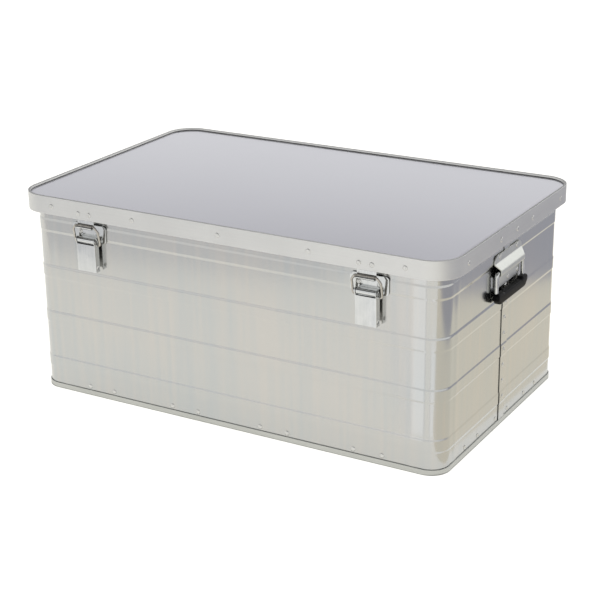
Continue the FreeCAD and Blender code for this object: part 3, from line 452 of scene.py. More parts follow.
def linear(code):
    """An sRGB hex colour as linear red, green, blue and alpha."""
    shares = [int(code[place:place + 2], 16) / 255 for place in (1, 3, 5)]
    return [c / 12.92 if c <= 0.04045 else ((c + 0.055) / 1.055) ** 2.4 for c in shares] + [1.0]


def new_material(name):
    """An empty node material and its tree."""
    material = bpy.data.materials.new(name)
    material.use_nodes = True
    material.node_tree.nodes.clear()
    return material, material.node_tree


def metal(name, dark, light, rough, grain, cloud, grain_depth=0.0, wave_depth=0.0, anisotropy=0.0,
          metallic=1.0):
    """A bare metal: drawn-out grain, slow clouding of its gloss and a slightly wavy surface.

    grain is the size of one streak along X, Y and Z, and cloud that of a cloudy patch, in millimetres.
    """
    material, tree = new_material(name)
    place = put(tree, "ShaderNodeTexCoord").outputs["Object"]
    stretch = [1 / (length * MM) for length in grain]
    drawn = put(tree, "ShaderNodeMapping", {"Vector": place, "Scale": stretch})
    streaks = put(tree, "ShaderNodeTexNoise",
                  {"Vector": drawn.outputs[0], "Scale": 1.0, "Detail": 3.0, "Roughness": 0.55})
    clouds = put(tree, "ShaderNodeTexNoise",
                 {"Vector": place, "Scale": 1 / (cloud * MM), "Detail": 2.0, "Roughness": 0.5})
    blend = put(tree, "ShaderNodeMath", {0: streaks.outputs["Fac"], 1: clouds.outputs["Fac"]},
                operation="ADD")
    gloss = put(tree, "ShaderNodeMapRange", {
        "Value": blend.outputs[0], "From Min": 0.7, "From Max": 1.3,
        "To Min": rough[0], "To Max": rough[1]})
    tone = put(tree, "ShaderNodeMapRange", {
        "Value": blend.outputs[0], "From Min": 0.7, "From Max": 1.3})
    hue = put(tree, "ShaderNodeMix", {
        "Factor": tone.outputs[0], "A": linear(dark), "B": linear(light)}, data_type="RGBA")
    waves = put(tree, "ShaderNodeBump", {
        "Height": clouds.outputs["Fac"], "Strength": 1.0, "Distance": wave_depth * MM})
    fine = put(tree, "ShaderNodeBump", {
        "Height": streaks.outputs["Fac"], "Strength": 1.0, "Distance": grain_depth * MM,
        "Normal": waves.outputs[0]})
    surface = put(tree, "ShaderNodeBsdfPrincipled", {
        "Base Color": hue.outputs["Result"], "Metallic": metallic, "Roughness": gloss.outputs[0],
        "Anisotropic": anisotropy, "Normal": fine.outputs[0]})
    if anisotropy:
        lay = put(tree, "ShaderNodeTangent", direction_type="RADIAL", axis="Z")
        tree.links.new(lay.outputs[0], surface.inputs["Tangent"])
    put(tree, "ShaderNodeOutputMaterial", {"Surface": surface.outputs[0]})
    return material


def moulded_polymer(name, dark, light, rough, pebble, depth, specular):
    """A dark moulded skin with a fine pebble that softens its highlight."""
    material, tree = new_material(name)
    place = put(tree, "ShaderNodeTexCoord").outputs["Object"]
    grain = put(tree, "ShaderNodeTexNoise",
                {"Vector": place, "Scale": 1 / (pebble * MM), "Detail": 2.0, "Roughness": 0.6})
    gloss = put(tree, "ShaderNodeMapRange", {
        "Value": grain.outputs["Fac"], "From Min": 0.3, "From Max": 0.7,
        "To Min": rough[0], "To Max": rough[1]})
    hue = put(tree, "ShaderNodeMix", {
        "Factor": grain.outputs["Fac"], "A": linear(dark), "B": linear(light)}, data_type="RGBA")
    skin = put(tree, "ShaderNodeBump", {
        "Height": grain.outputs["Fac"], "Strength": 1.0, "Distance": depth * MM})
    surface = put(tree, "ShaderNodeBsdfPrincipled", {
        "Base Color": hue.outputs["Result"], "Roughness": gloss.outputs[0],
        "Specular IOR Level": specular, "Normal": skin.outputs[0]})
    put(tree, "ShaderNodeOutputMaterial", {"Surface": surface.outputs[0]})
    return material


# Mill-rolled aluminium sheet: half-sharp, slightly rippled reflections under faint upright smears.
WALL = metal("mill_rolled_aluminium_sheet", "#B2B5B5", "#BBB9B5", rough=(0.155, 0.18),
             grain=(7, 7, 240), cloud=130, wave_depth=0.14)
# Rolled aluminium sheet with a finer satin: a soft even sheen across the lid.
PANEL = metal("satin_rolled_aluminium_sheet", "#BFBFC5", "#C6C6CC", rough=(0.16, 0.20),
              grain=(160, 0.9, 0.9), cloud=150, grain_depth=0.0006, wave_depth=0.05)
# Extruded aluminium profile, anodised: silky, with faint lines along its length.
PROFILE = metal("anodised_aluminium_profile", "#C5C5C3", "#CDCDCB", rough=(0.40, 0.48),
                grain=(90, 90, 0.7), cloud=60, grain_depth=0.0008, wave_depth=0.03, anisotropy=0.5)
# Extruded aluminium as it leaves the die: greyer than the anodised lid edge, faintly lined.
MILL_PROFILE = metal("mill_finish_aluminium_profile", "#B0B1AD", "#BBBCB8", rough=(0.30, 0.38),
                     grain=(90, 90, 0.7), cloud=60, grain_depth=0.0008, wave_depth=0.03, anisotropy=0.5)
# Aluminium blind rivets: upset heads, a little brighter than what they hold.
RIVET = metal("bright_aluminium_rivet", "#BDBDBA", "#CCCCC9", rough=(0.24, 0.34),
              grain=(2.5, 2.5, 2.5), cloud=6, grain_depth=0.004, wave_depth=0.01)
# Zinc-plated pressed steel: bright, slightly cool, with a thin polished grain.
ZINC = metal("zinc_plated_steel_pressing", "#BFC1C1", "#CDCECD", rough=(0.10, 0.16),
             grain=(2, 2, 40), cloud=14, grain_depth=0.002, wave_depth=0.008)
# Zinc-plated steel wire: bright, drawn along its length.
WIRE = metal("zinc_plated_steel_wire", "#BCBDBC", "#CECFCE", rough=(0.12, 0.20),
             grain=(6, 6, 6), cloud=10, grain_depth=0.003)
# Zinc-plated steel left satin: paler than the wall behind it, with no mirror in it.
SATIN_ZINC = metal("satin_zinc_plated_pressing", "#BBBDB8", "#C7C8C4", rough=(0.28, 0.36),
                   grain=(2, 2, 40), cloud=14, grain_depth=0.002, wave_depth=0.008)
# Zinc-plated spring wire: painted darker and warmer than the plain wire as painted shade, drawn along its
# length.
SHADED_BAIL_WIRE = metal("zinc_plated_spring_wire", "#A09C95", "#B3AFA8", rough=(0.14, 0.22),
                  grain=(6, 6, 6), cloud=10, grain_depth=0.003)
# Aluminium on the inside of the case: half matt, and painted paler than the walls as painted light, so that
# the open case stays light.
INSIDE = metal("etched_aluminium_sheet", "#CDCECC", "#D8D9D7", rough=(0.36, 0.46),
               grain=(7, 7, 240), cloud=130, wave_depth=0.05, metallic=0.5)
# Sheared edge of aluminium sheet: torn and dull, and painted dark beside the rolled face as the shadow in the
# lap seam.
SEAM_SHADOW_EDGE = metal("sheared_aluminium_edge", "#6A6A68", "#7E7E7B", rough=(0.55, 0.70),
                grain=(0.6, 0.6, 3), cloud=4, grain_depth=0.01)
# Moulded black ABS: deep black with a fine spark-eroded texture.
GRIP = moulded_polymer("moulded_black_abs", "#030304", "#070608", rough=(0.34, 0.46),
                       pebble=0.6, depth=0.03, specular=0.07)
# Extruded black rubber: matt and dusty.
RUBBER = moulded_polymer("extruded_black_rubber", "#121212", "#1D1D1C", rough=(0.70, 0.85),
                         pebble=0.9, depth=0.02, specular=0.3)


# Makers of pieces

def sweep(name, path, closed, section, material):
    """A section of standoffs and heights swept along a plan."""
    line = line_object(name, path, closed)
    drawn = line_object(f"{name}_section", [(out, -up) for out, up in section], True)
    grow(line, SECTION_TREE, {"Section": drawn, "Material": material})
    bpy.data.objects.remove(drawn)
    outward_faces(line.data)
    smooth_shaded(line.data)
    return line


def wire(name, corners, bend, radius, material, closed=False):
    """A round wire along straight runs with rounded corners."""
    line = line_object(name, rounded([(corner, bend) for corner in corners], 8, closed), closed)
    grow(line, WIRE_TREE, {"Wire radius": radius * MM, "Sides": ROUND_SIDES, "Material": material})
    outward_faces(line.data)
    smooth_shaded(line.data, 50)
    return line


def rivets(name, seats, stack):
    """Rivets through a stack of a given thickness; seats are points under heads and the ways they face."""
    mesh = bpy.data.meshes.new(name)
    mesh.from_pydata([Vector(spot) * MM for spot, way in seats], [], [])
    ways = mesh.attributes.new("outward", "FLOAT_VECTOR", "POINT")
    for index, (spot, way) in enumerate(seats):
        ways.data[index].vector = way
    piece = new_object(name, mesh)
    grow(piece, RIVET_TREE, {
        "Head radius": HEAD_RADIUS * MM, "Head height": HEAD_HEIGHT * MM,
        "Dimple radius": DIMPLE_RADIUS * MM, "Dimple depth": DIMPLE_DEPTH * MM,
        "Shank radius": SHANK_RADIUS * MM, "Tail radius": TAIL_RADIUS * MM, "Tail height": TAIL_HEIGHT * MM,
        "Stack": stack * MM, "Sides": ROUND_SIDES, "Material": RIVET})
    smooth_shaded(piece.data, 50)
    return piece


def ringed(name, rings, material):
    """A closed shell through rings of points that match one another, with flat ends."""
    shape = bmesh.new()
    loops = [[shape.verts.new(Vector(spot) * MM) for spot in ring] for ring in rings]
    count = len(loops[0])
    for near, far in zip(loops, loops[1:]):
        for index in range(count):
            after = (index + 1) % count
            shape.faces.new((near[index], near[after], far[after], far[index]))
    shape.faces.new(loops[0])
    shape.faces.new(reversed(loops[-1]))
    mesh = bpy.data.meshes.new(name)
    shape.to_mesh(mesh)
    shape.free()
    mesh.materials.append(material)
    outward_faces(mesh)
    return new_object(name, mesh)


def pressing(node, name, body, folds=(), width=0.3, steps=2):
    """A zinc-plated pressing that stands for a CAD node: its shape with its folds and corners rounded.

    folds are rows of an axis, a low and a high corner in millimetres, and a radius: edges along that
    axis whose middle lies in that box get that radius.
    """
    shape = bmesh.new()
    shape.from_mesh(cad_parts[node].data)
    bmesh.ops.remove_doubles(shape, verts=shape.verts, dist=2e-6)
    bmesh.ops.dissolve_limit(shape, angle_limit=math.radians(0.4), verts=shape.verts, edges=shape.edges)
    for axis, low, high, radius in folds:
        chosen = []
        for edge in shape.edges:
            span = edge.verts[1].co - edge.verts[0].co
            middle = (edge.verts[0].co + edge.verts[1].co) / (2 * MM)
            along = abs(span[axis]) > 0.999 * span.length
            if along and all(low[i] <= middle[i] <= high[i] for i in range(3)):
                chosen.append(edge)
        bmesh.ops.bevel(shape, geom=chosen, offset=radius * MM, segments=5, profile=0.5,
                        affect="EDGES", clamp_overlap=False)
    mesh = bpy.data.meshes.new(name)
    shape.to_mesh(mesh)
    shape.free()
    for layer in [item.name for item in mesh.attributes if item.name in ("custom_normal", "sharp_face")]:
        mesh.attributes.remove(mesh.attributes[layer])
    mesh.materials.clear()
    mesh.materials.append(ZINC)
    dress(eased(new_object(name, mesh), width, steps), body, "latch_zinc", node)


def eased(piece, width, steps):
    """Round a piece's sharp edges and keep its flats flat."""
    bevel = piece.modifiers.new("edges", "BEVEL")
    bevel.width = width * MM
    bevel.segments = steps
    bevel.limit_method = "ANGLE"
    bevel.angle_limit = math.radians(40)
    bevel.use_clamp_overlap = False
    settle(piece)
    smooth_shaded(piece.data, 60)
    weighting = piece.modifiers.new("normals", "WEIGHTED_NORMAL")
    weighting.keep_sharp = True
    return settle(piece)


def corner_rows(place, half, heights, depths, radius=4):
    """Rows for a pressing: a plate's corners at a half width to both sides of a place, at each height."""
    return [(1, (place + side - 1, depths[0], height - 1), (place + side + 1, depths[1], height + 1), radius)
            for height in heights for side in (-half, half)]


def folded(name, rows, placed, material, width=0.25):
    """Sheet folded along a profile.

    rows are a standoff, a height, a half width and a thickness, from one end of the profile to the
    other, on the sheet's face; its back lies to the right of the way that they go. placed turns a
    standoff, a place across and a height into a point.
    """
    line = [Vector(row[:2]) for row in rows]
    last = len(line) - 1
    rings = []
    for index, spot in enumerate(line):
        half, thickness = rows[index][2:]
        way = Vector((0, 0))
        if index > 0:
            way += (spot - line[index - 1]).normalized()
        if index < last:
            way += (line[index + 1] - spot).normalized()
        way.normalize()
        step = (spot - line[index - 1]).normalized() if index > 0 else way
        reach = thickness / max(way.dot(step), 0.5)
        under = spot + Vector((way.y, -way.x)) * reach
        corners = [(spot, half), (spot, -half), (under, -half), (under, half)]
        rings.append([placed(at.x, across, at.y) for at, across in corners])
    return eased(ringed(name, rings, material), width, 2)


# Body

def wall_section():
    """The swaged sheet's outside going up and its inside coming down."""
    rising = [(0, WALL_BOTTOM, 0)]
    for index in range(SWAGES):
        middle = FIRST_SWAGE + index * SWAGE_PITCH
        half = SWAGE_HEIGHT / 2
        rising.append((0, middle - half, SWAGE_BEND))
        rising.append((SWAGE_DEPTH, middle - half + SWAGE_FLANK, SWAGE_BEND))
        rising.append((SWAGE_DEPTH, middle + half - SWAGE_FLANK, SWAGE_BEND))
        rising.append((0, middle + half, SWAGE_BEND))
    rising.append((0, WALL_TOP, 0))
    falling = [(out - SHEET, up, bend) for out, up, bend in reversed(rising)]
    return rounded_section(rising + falling, steps=3)


def paint_inside_light(wall):
    """Give the faces that look into the case the paler inside material: painted light."""
    wall.data.materials.append(INSIDE)
    for face in wall.data.polygons:
        inward = -face.center.xy.normalized()
        if face.normal.xy.dot(inward) > 0.3:
            face.material_index = 1


front_wall = sweep("front_wall_sheet", front_sheet_plan(), False, wall_section(), WALL)
paint_inside_light(front_wall)
dress(front_wall, "case_body", "wall_aluminium", "front_shell")

rear_wall = sweep("rear_wall_sheet", rear_sheet_plan(), False, wall_section(), WALL)
for vertex in rear_wall.data.vertices:
    if vertex.co.y < LAP_START * MM:
        vertex.co.z = max(vertex.co.z, LAP_BOTTOM * MM)
paint_inside_light(rear_wall)
# The rear sheet's cut ends at the lap seam take the dark edge colour: painted seam shadow.
rear_wall.data.materials.append(SEAM_SHADOW_EDGE)
for face in rear_wall.data.polygons:
    if face.normal.y < -0.9 and face.center.y < (LAP_END + 0.1) * MM:
        face.material_index = 2
dress(rear_wall, "case_body", "wall_aluminium", "rear_shell")

body_plan = plan(BODY_HALF_LENGTH, BODY_HALF_WIDTH, BODY_CORNER)
base = sweep("base_edge_profile", body_plan, True, rounded_section([
    (BASE_FACE, 0, 0.5), (BASE_FACE, BASE_TOP, 0.6), (SEAT_GAP, BASE_TOP, 0.2), (SEAT_GAP, BASE_FLANGE, 0),
    (-BASE_REACH, BASE_FLANGE, 0.3), (-BASE_REACH, 0, 0.3)]), MILL_PROFILE)
dress(base, "case_body", "profile_aluminium", "base_profile")

rim = sweep("rim_edge_profile", body_plan, True, rounded_section([
    (RIM_FACE, RIM_TOP - RIM_THICKNESS, 0.4), (RIM_FACE, RIM_TOP, 0.6), (-RIM_INNER, RIM_TOP, 0.7),
    (-RIM_INNER, RIM_TOP - RIM_DEPTH, 0.4), (-LAP_STANDOFF, RIM_TOP - RIM_DEPTH, 0.4),
    (-LAP_STANDOFF, RIM_TOP - RIM_THICKNESS, 0)]), PROFILE)
dress(rim, "case_body", "profile_aluminium", "rim_profile")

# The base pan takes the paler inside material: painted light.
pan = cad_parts["base_pan"]
pan.data.materials.clear()
pan.data.materials.append(INSIDE)


# Lid

skirt = sweep("lid_edge_frame", lid_plan(0), True, rounded_section([
    (0, SKIRT_BOTTOM, 0.5), (0, CASE_HEIGHT, 0.4), (-LIP_WIDTH, CASE_HEIGHT, 0.35),
    (-LIP_FOOT_WIDTH, LIP_FOOT, 0.15), (-SKIRT_THICKNESS, LIP_UNDER, 0),
    (-SKIRT_THICKNESS, SKIRT_BOTTOM, 0.5)], steps=5), PROFILE)
dress(skirt, "lid", "profile_aluminium", "lid_frame")


def lid_panel():
    """The pressed pan under the lip, with its flange turned down inside the skirt."""
    inner = PANEL_INSET + PANEL_THICKNESS
    rows = [(inset, PANEL_TOP) for inset in PANEL_RINGS]
    for turn in (math.radians(22.5 * step) for step in range(5)):
        rows.append((PANEL_INSET + PANEL_BEND * (1 - math.sin(turn)),
                     PANEL_TOP - PANEL_BEND * (1 - math.cos(turn))))
    rows += [(PANEL_INSET, PANEL_FLANGE_END), (inner, PANEL_FLANGE_END), (inner, PANEL_UNDER)]
    rows += [(inset, PANEL_UNDER) for inset in reversed(PANEL_RINGS)]
    rings = [[spot.to_3d() + Vector((0, 0, height)) for spot in lid_plan(inset)] for inset, height in rows]
    panel = ringed("lid_top_panel", rings, PANEL)
    smooth_shaded(panel.data)
    return panel


dress(lid_panel(), "lid", "panel_aluminium", "lid_panel")

seal = sweep("lid_rubber_seal", body_plan, True, rounded_section([
    (SEAL_OUTER, SEAL_BOTTOM, 1.5), (SEAL_OUTER, SEAL_TOP, 0.3), (-SEAL_INNER, SEAL_TOP, 0.3),
    (-SEAL_INNER, SEAL_BOTTOM, 1.5)]), RUBBER)
dress(seal, "lid", "seal_rubber", "lid_seal")


# Rivets

LEFT, RIGHT = Vector((-1, 0, 0)), Vector((1, 0, 0))
FRONT, REAR = Vector((0, -1, 0)), Vector((0, 1, 0))


def both(*places):
    """Each place and its mirror image."""
    return [sign * place for place in places for sign in (1, -1)]


def on_front(across, height, standoff=0.0):
    """A rivet's seat on the front wall, or a standoff before it, and the way that it faces."""
    return (across, -BODY_HALF_WIDTH - standoff, height), FRONT


def on_rear(across, height, standoff=0.0):
    """A rivet's seat on the rear wall."""
    return (across, BODY_HALF_WIDTH + standoff, height), REAR


def on_side(sign, along, height, standoff=0.0):
    """A rivet's seat on a short side: the right one for a sign of 1, the left one for -1."""
    return (sign * (BODY_HALF_LENGTH + standoff), along, height), RIGHT if sign > 0 else LEFT


base_seats = []
for pair in both(FRONT_PAIR_PLACE / 3, FRONT_PAIR_PLACE):
    for offset in both(FRONT_PAIR_HALF):
        base_seats.append(on_front(pair + offset, BASE_RIVET_HEIGHT))
        base_seats.append(on_rear(pair + offset, BASE_RIVET_HEIGHT))
for pair in [0] + both(SIDE_PAIR_PLACE):
    for offset in both(SIDE_PAIR_HALF):
        for hand in (1, -1):
            base_seats.append(on_side(hand, pair + offset, BASE_RIVET_HEIGHT))

seam_seats = []
seam_middle = (LAP_END + FRONT_SHEET_END) / 2
for index in range(SEAM_RIVETS):
    height = FIRST_SWAGE + index * SWAGE_PITCH / RIVETS_PER_SWAGE
    proud = LAP_STANDOFF + (SWAGE_DEPTH if index % RIVETS_PER_SWAGE == 0 else 0)
    for hand in (1, -1):
        seam_seats.append(on_side(hand, seam_middle, height, proud))

frame_seats = []
for across in [0] + both(*FRAME_FRONT_PLACES):
    frame_seats.append(on_front(across, FRAME_RIVET_HEIGHT, OVERHANG))
    frame_seats.append(on_rear(across, FRAME_RIVET_HEIGHT, OVERHANG))
for along in [0] + both(*FRAME_SIDE_PLACES):
    for hand in (1, -1):
        frame_seats.append(on_side(hand, along, FRAME_RIVET_HEIGHT, OVERHANG))

catch_seats = [on_front(place + offset, CATCH_RIVET_HEIGHT, OVERHANG)
               for place in both(LATCH_PLACE) for offset in both(CATCH_RIVET_HALF)]

latch_seats = [on_front(place + offset, LATCH_RIVET_HEIGHT, LATCH_PLATE_FACE)
               for place in both(LATCH_PLACE) for offset in both(LATCH_RIVET_HALF)]

handle_seats = []
for hand in (1, -1):
    handle_seats += [on_side(hand, along, PLATE_HEAD_RIVET, PLATE_FACE) for along in both(PLATE_HEAD_HALF)]
    handle_seats += [on_side(hand, along, PLATE_FOOT_RIVET, PLATE_FACE)
                     for along in [0] + both(PLATE_FOOT_HALF)]

leaf_places = [place + offset for place in both(HINGE_PLACE) for offset in both(LEAF_RIVET_HALF)]
leaf_seats = [on_rear(place, LEAF_RIVET_HEIGHT, LEAF_FACE) for place in leaf_places]
strap_seats = [on_rear(place, FRAME_RIVET_HEIGHT, OVERHANG + STRAP_FACE) for place in leaf_places]

# Each row holds a piece, its seats, the thickness that its rivets go through, its body and its node.
RIVET_ROWS = (("base_edge_rivets", base_seats, 2.05, "case_body", "base_rivets"),
              ("lap_seam_rivets", seam_seats, 1.65, "case_body", "seam_rivets"),
              ("lid_frame_rivet_row", frame_seats, 3.35, "lid", "lid_frame_rivets"),
              ("catch_rivet_pairs", catch_seats, 4.9, "lid", "catch_rivets"),
              ("latch_plate_rivet_pairs", latch_seats, 3.35, "case_body", "latch_plate_rivets"),
              ("handle_plate_rivets", handle_seats, 4.2, "case_body", "handle_rivets"),
              ("hinge_leaf_rivets", leaf_seats, 3.45, "case_body", "hinge_body_rivets"),
              ("hinge_strap_rivets", strap_seats, 5.0, "lid", "hinge_lid_rivets"))
for name, seats, stack, body, node in RIVET_ROWS:
    dress(rivets(name, seats, stack), body, "rivet_aluminium", node)


# Latches

def latch(hand, place):
    """One draw latch: its lever, base plate, pivot pin, bail sleeve, hooked catch and wire bail."""
    wall = -BODY_HALF_WIDTH
    face = wall - LEVER_FACE
    near = 0.1
    folds = [(2, (side - near, face - near, 150), (side + near, face + near, 210), LEVER_FOLD)
             for side in (place - LEVER_WIDTH / 2, place + LEVER_WIDTH / 2)]
    pressing(f"latch_lever_{hand}", f"latch_lever_pressing_{hand}", f"lever_{hand}", folds, 0.25)
    folds = corner_rows(place, LATCH_PLATE_HALF, LATCH_PLATE_ENDS, (-200, -170))
    pressing(f"latch_base_plate_{hand}", f"latch_base_pressing_{hand}", "case_body", folds)
    pressing(f"latch_pivot_pin_{hand}", f"latch_hollow_pin_{hand}", "case_body", width=0.25, steps=3)
    pressing(f"latch_bail_sleeve_{hand}", f"latch_bail_tube_{hand}", f"sleeve_{hand}", width=0.15)
    bends = [(Vector((HOOK_BACK, HOOK_TOP)), 0), (Vector((HOOK_BACK, HOOK_SEAT)), HOOK_BEND),
             (Vector((HOOK_FACE, HOOK_SEAT)), HOOK_BEND), (Vector((HOOK_FACE, HOOK_TIP)), 0)]
    hook = [(spot.x, spot.y, HOOK_HALF, HOOK_THICKNESS) for spot in rounded(bends, 6, False)]
    catch = folded(f"latch_catch_hook_{hand}", hook,
                   lambda out, across, up: Vector((place + across, wall - out, up)), ZINC)
    dress(catch, "lid", "latch_zinc", f"latch_catch_{hand}")
    foot = Vector((place, wall - BAIL_STANDOFF, BAIL_HEIGHT))
    top = Vector((place, wall - BAIL_TOP_STANDOFF, BAIL_TOP_HEIGHT))
    shoulder = top + (foot - top).normalized() * BAIL_SHOULDER
    right = [foot + RIGHT * BAIL_GAP, foot + RIGHT * BAIL_HALF, shoulder + RIGHT * BAIL_HALF,
             top + RIGHT * BAIL_TOP_HALF]
    left = [Vector((2 * place - spot.x, spot.y, spot.z)) for spot in reversed(right)]
    # The bail wire takes the darker wire colour: painted shade.
    bail = wire(f"latch_bail_wire_{hand}", right + left, BAIL_BEND, BAIL_RADIUS, SHADED_BAIL_WIRE)
    dress(bail, f"bail_{hand}", "wire_zinc", f"latch_bail_{hand}")


latch("left", -LATCH_PLACE)
latch("right", LATCH_PLACE)


# Drop handles

def grip_outline():
    """The grip's U as seen from the end of the case, in rows of place, height and radius."""
    end = GRIP_BOTTOM + GRIP_END
    right = [(GRIP_HALF - 7, GRIP_BOTTOM, 7), (GRIP_HALF, GRIP_BOTTOM + 7, 6), (GRIP_HALF, end, 3.2),
             (GRIP_INNER, end, 3.2), (GRIP_INNER - 5, GRIP_BOTTOM + GRIP_BAR, 6)]
    left = [(-along, up, radius) for along, up, radius in reversed(right)]
    return rounded_section(right + left, steps=6, leads=())


def drawn_in(points, inset):
    """A closed outline moved inwards by a distance."""
    count = len(points)
    moved = []
    for index, spot in enumerate(points):
        before = (spot - points[index - 1]).normalized()
        after = (points[(index + 1) % count] - spot).normalized()
        way = (before + after).normalized()
        moved.append(spot + Vector((-way.y, way.x)) * inset)
    return moved


def plate_rows():
    """The handle plate's face from its head down over the tunnel to its foot, for folding."""
    face, foot, head = PLATE_FACE, PLATE_FOOT, PLATE_HEAD
    corner_low, corner_high = 5.0, 8.0
    bends = [(Vector((face, head)), 0), (Vector((face, 212.3)), 1.6), (Vector((TUNNEL_FACE, 204.4)), 3.2),
             (Vector((TUNNEL_FACE, 198.8)), 2.2), (Vector((face, 193.5)), 1.2), (Vector((face, foot)), 0)]
    line = rounded(bends, 6, False, ((0.3, 0),))
    turns = [math.radians(15 * step) for step in range(7)]
    high = [Vector((face, head - corner_high * (1 - math.cos(turn)))) for turn in turns]
    low = [Vector((face, foot + corner_low * (1 - math.cos(turn)))) for turn in reversed(turns)]
    rows = []
    for spot in high + [at for at in line if low[0].y + 0.2 < at.y < high[-1].y - 0.2] + low:
        half = next(width for height, width in PLATE_HALVES if spot.y > height)
        short = max(0.0, spot.y - head + corner_high)
        half -= corner_high - math.sqrt(max(corner_high ** 2 - short ** 2, 0.0))
        short = max(0.0, foot + corner_low - spot.y)
        half -= corner_low - math.sqrt(max(corner_low ** 2 - short ** 2, 0.0))
        flat = spot.x < face + 0.02
        rows.append((spot.x, spot.y, half, PLATE_THICKNESS if flat else TUNNEL_THICKNESS))
    return rows


def grip_rows():
    """How far each ring of the grip stands out, and how far it is drawn in to round the edges."""
    back_edge, face_edge = 0.8, 2.6
    rows = []
    for turn in (math.radians(30 * step) for step in reversed(range(4))):
        rows.append((GRIP_BACK + back_edge * (1 - math.sin(turn)), back_edge * (1 - math.cos(turn))))
    for turn in (math.radians(15 * step) for step in range(7)):
        rows.append((GRIP_FACE - face_edge * (1 - math.sin(turn)), face_edge * (1 - math.cos(turn))))
    return rows


def handle(hand, sign):
    """One drop handle: its pressed plate, bent rod and moulded grip."""
    def placed(out, across, up):
        return Vector((sign * (BODY_HALF_LENGTH + out), across, up))

    plate = folded(f"handle_plate_pressing_{hand}", plate_rows(), placed, SATIN_ZINC, 0.4)
    dress(plate, "case_body", "latch_zinc", f"handle_plate_{hand}")
    low = GRIP_BOTTOM + GRIP_BAR / 2
    corners = [placed(ROD_STANDOFF, ROD_PLACE, HANDLE_AXIS), placed(ROD_STANDOFF, ROD_PLACE, low),
               placed(ROD_STANDOFF, -ROD_PLACE, low), placed(ROD_STANDOFF, -ROD_PLACE, HANDLE_AXIS)]
    rod = wire(f"handle_bent_rod_{hand}", corners, ROD_BEND, ROD_RADIUS, WIRE, True)
    dress(rod, f"handle_{hand}", "wire_zinc", f"handle_rod_{hand}")
    outline = grip_outline()
    rings = [[placed(out, spot.x, spot.y) for spot in drawn_in(outline, inset)] for out, inset in grip_rows()]
    grip = ringed(f"handle_moulded_grip_{hand}", rings, GRIP)
    smooth_shaded(grip.data)
    dress(grip, f"handle_{hand}", "grip_plastic", f"handle_grip_{hand}")


handle("left", -1)
handle("right", 1)


# Hinges

def hinge(hand, place):
    """One rear hinge: its two leaves and its pin."""
    folds = corner_rows(place, LEAF_HALF, (LEAF_BOTTOM,), (160, 180))
    pressing(f"hinge_body_leaf_{hand}", f"hinge_body_strap_{hand}", "case_body", folds)
    folds = corner_rows(place, LEAF_HALF, (STRAP_TOP,), (175, 190))
    pressing(f"hinge_lid_leaf_{hand}", f"hinge_lid_strap_{hand}", "lid", folds)
    pressing(f"hinge_pin_{hand}", f"hinge_peened_pin_{hand}", "case_body", steps=3)


hinge("left", -HINGE_PLACE)
hinge("right", HINGE_PLACE)


# Floor, light and camera

def floor_material():
    """Matt white paper, lit evenly through from below so that shadows on it stay faint."""
    material, tree = new_material("matt_white_paper")
    place = put(tree, "ShaderNodeTexCoord").outputs["Object"]
    tooth = put(tree, "ShaderNodeTexNoise", {"Vector": place, "Scale": 400.0, "Detail": 2.0})
    skin = put(tree, "ShaderNodeBump", {"Height": tooth.outputs["Fac"], "Strength": 0.05, "Distance": 0.0002})
    surface = put(tree, "ShaderNodeBsdfPrincipled", {
        "Base Color": linear("#AEACA6"), "Roughness": 0.9, "Specular IOR Level": 0.2,
        "Emission Color": linear("#FFFFFD"), "Emission Strength": 0.86, "Normal": skin.outputs[0]})
    put(tree, "ShaderNodeOutputMaterial", {"Surface": surface.outputs[0]})
    return material


FLOOR_HALF = 9.0
floor_mesh = bpy.data.meshes.new("studio_floor")
floor_mesh.from_pydata([(x * FLOOR_HALF, y * FLOOR_HALF, 0) for x, y in ((-1, -1), (1, -1), (1, 1), (-1, 1))],
                       [], [(0, 1, 2, 3)])
floor_mesh.materials.append(floor_material())
new_object("studio_floor", floor_mesh)


CARD_HEIGHT = 0.0005


def card(name, near, far, hue, strength=1.0):
    """A studio card laid on the floor between two lines, in metres, which only reflections show."""
    material, tree = new_material(name)
    glow = put(tree, "ShaderNodeEmission", {"Color": linear(hue), "Strength": strength})
    put(tree, "ShaderNodeOutputMaterial", {"Surface": glow.outputs[0]})
    mesh = bpy.data.meshes.new(name)
    count = len(near)
    faces = [(index, index + 1, count + index + 1, count + index) for index in range(count - 1)]
    mesh.from_pydata([(x, y, CARD_HEIGHT) for x, y in near + far], [], faces)
    mesh.materials.append(material)
    holder = new_object(name, mesh)
    holder.visible_camera = False
    holder.visible_diffuse = False
    holder.visible_shadow = False
    holder.visible_transmission = False


def fan(centre, radius, start, end, steps=8):
    """Points at a radius from a centre, from one azimuth to another, in degrees from the front."""
    turns = [math.radians(start + (end - start) * step / steps) for step in range(steps + 1)]
    return [(centre[0] + radius * math.sin(turn), centre[1] - radius * math.cos(turn)) for turn in turns]


# To the right a cream card lies near the case and a cooler one beyond it.
TABLE_EDGE = [(0.95, -0.80), (0.698, -0.157), (0.497, 0.360), (0.41, 0.515), (0.12, 1.1)]
card("right_far_card", TABLE_EDGE,
     [(2.6, -0.80), (2.6, 0.4), (2.4, 1.4), (2.0, 2.2), (0.3, 2.6)], "#C2C2CB")
card("right_near_card",
     [(0.34, -0.28), (0.30, -0.147), (0.295, 0.0), (0.29, 0.2), (0.1, 0.3)], TABLE_EDGE, "#FFF9EA")
card("front_floor_card", [(-1.3, -0.46), (-0.498, -0.608), (-0.14, -0.672)],
     [(-2.2, -2.0), (-1.2, -2.2), (-0.5, -2.2)], "#F4F4F6")
# A grey ring under the case's edge darkens the foot of its walls in reflections: a painted contact shadow.
footprint = [plan(BODY_HALF_LENGTH + out, BODY_HALF_WIDTH + out, BODY_CORNER) for out in (-15, 2)]
inner_ring, outer_ring = [[(spot.x * MM, spot.y * MM) for spot in ring + ring[:1]] for ring in footprint]
card("under_case_card", inner_ring, outer_ring, "#8C8C8C")
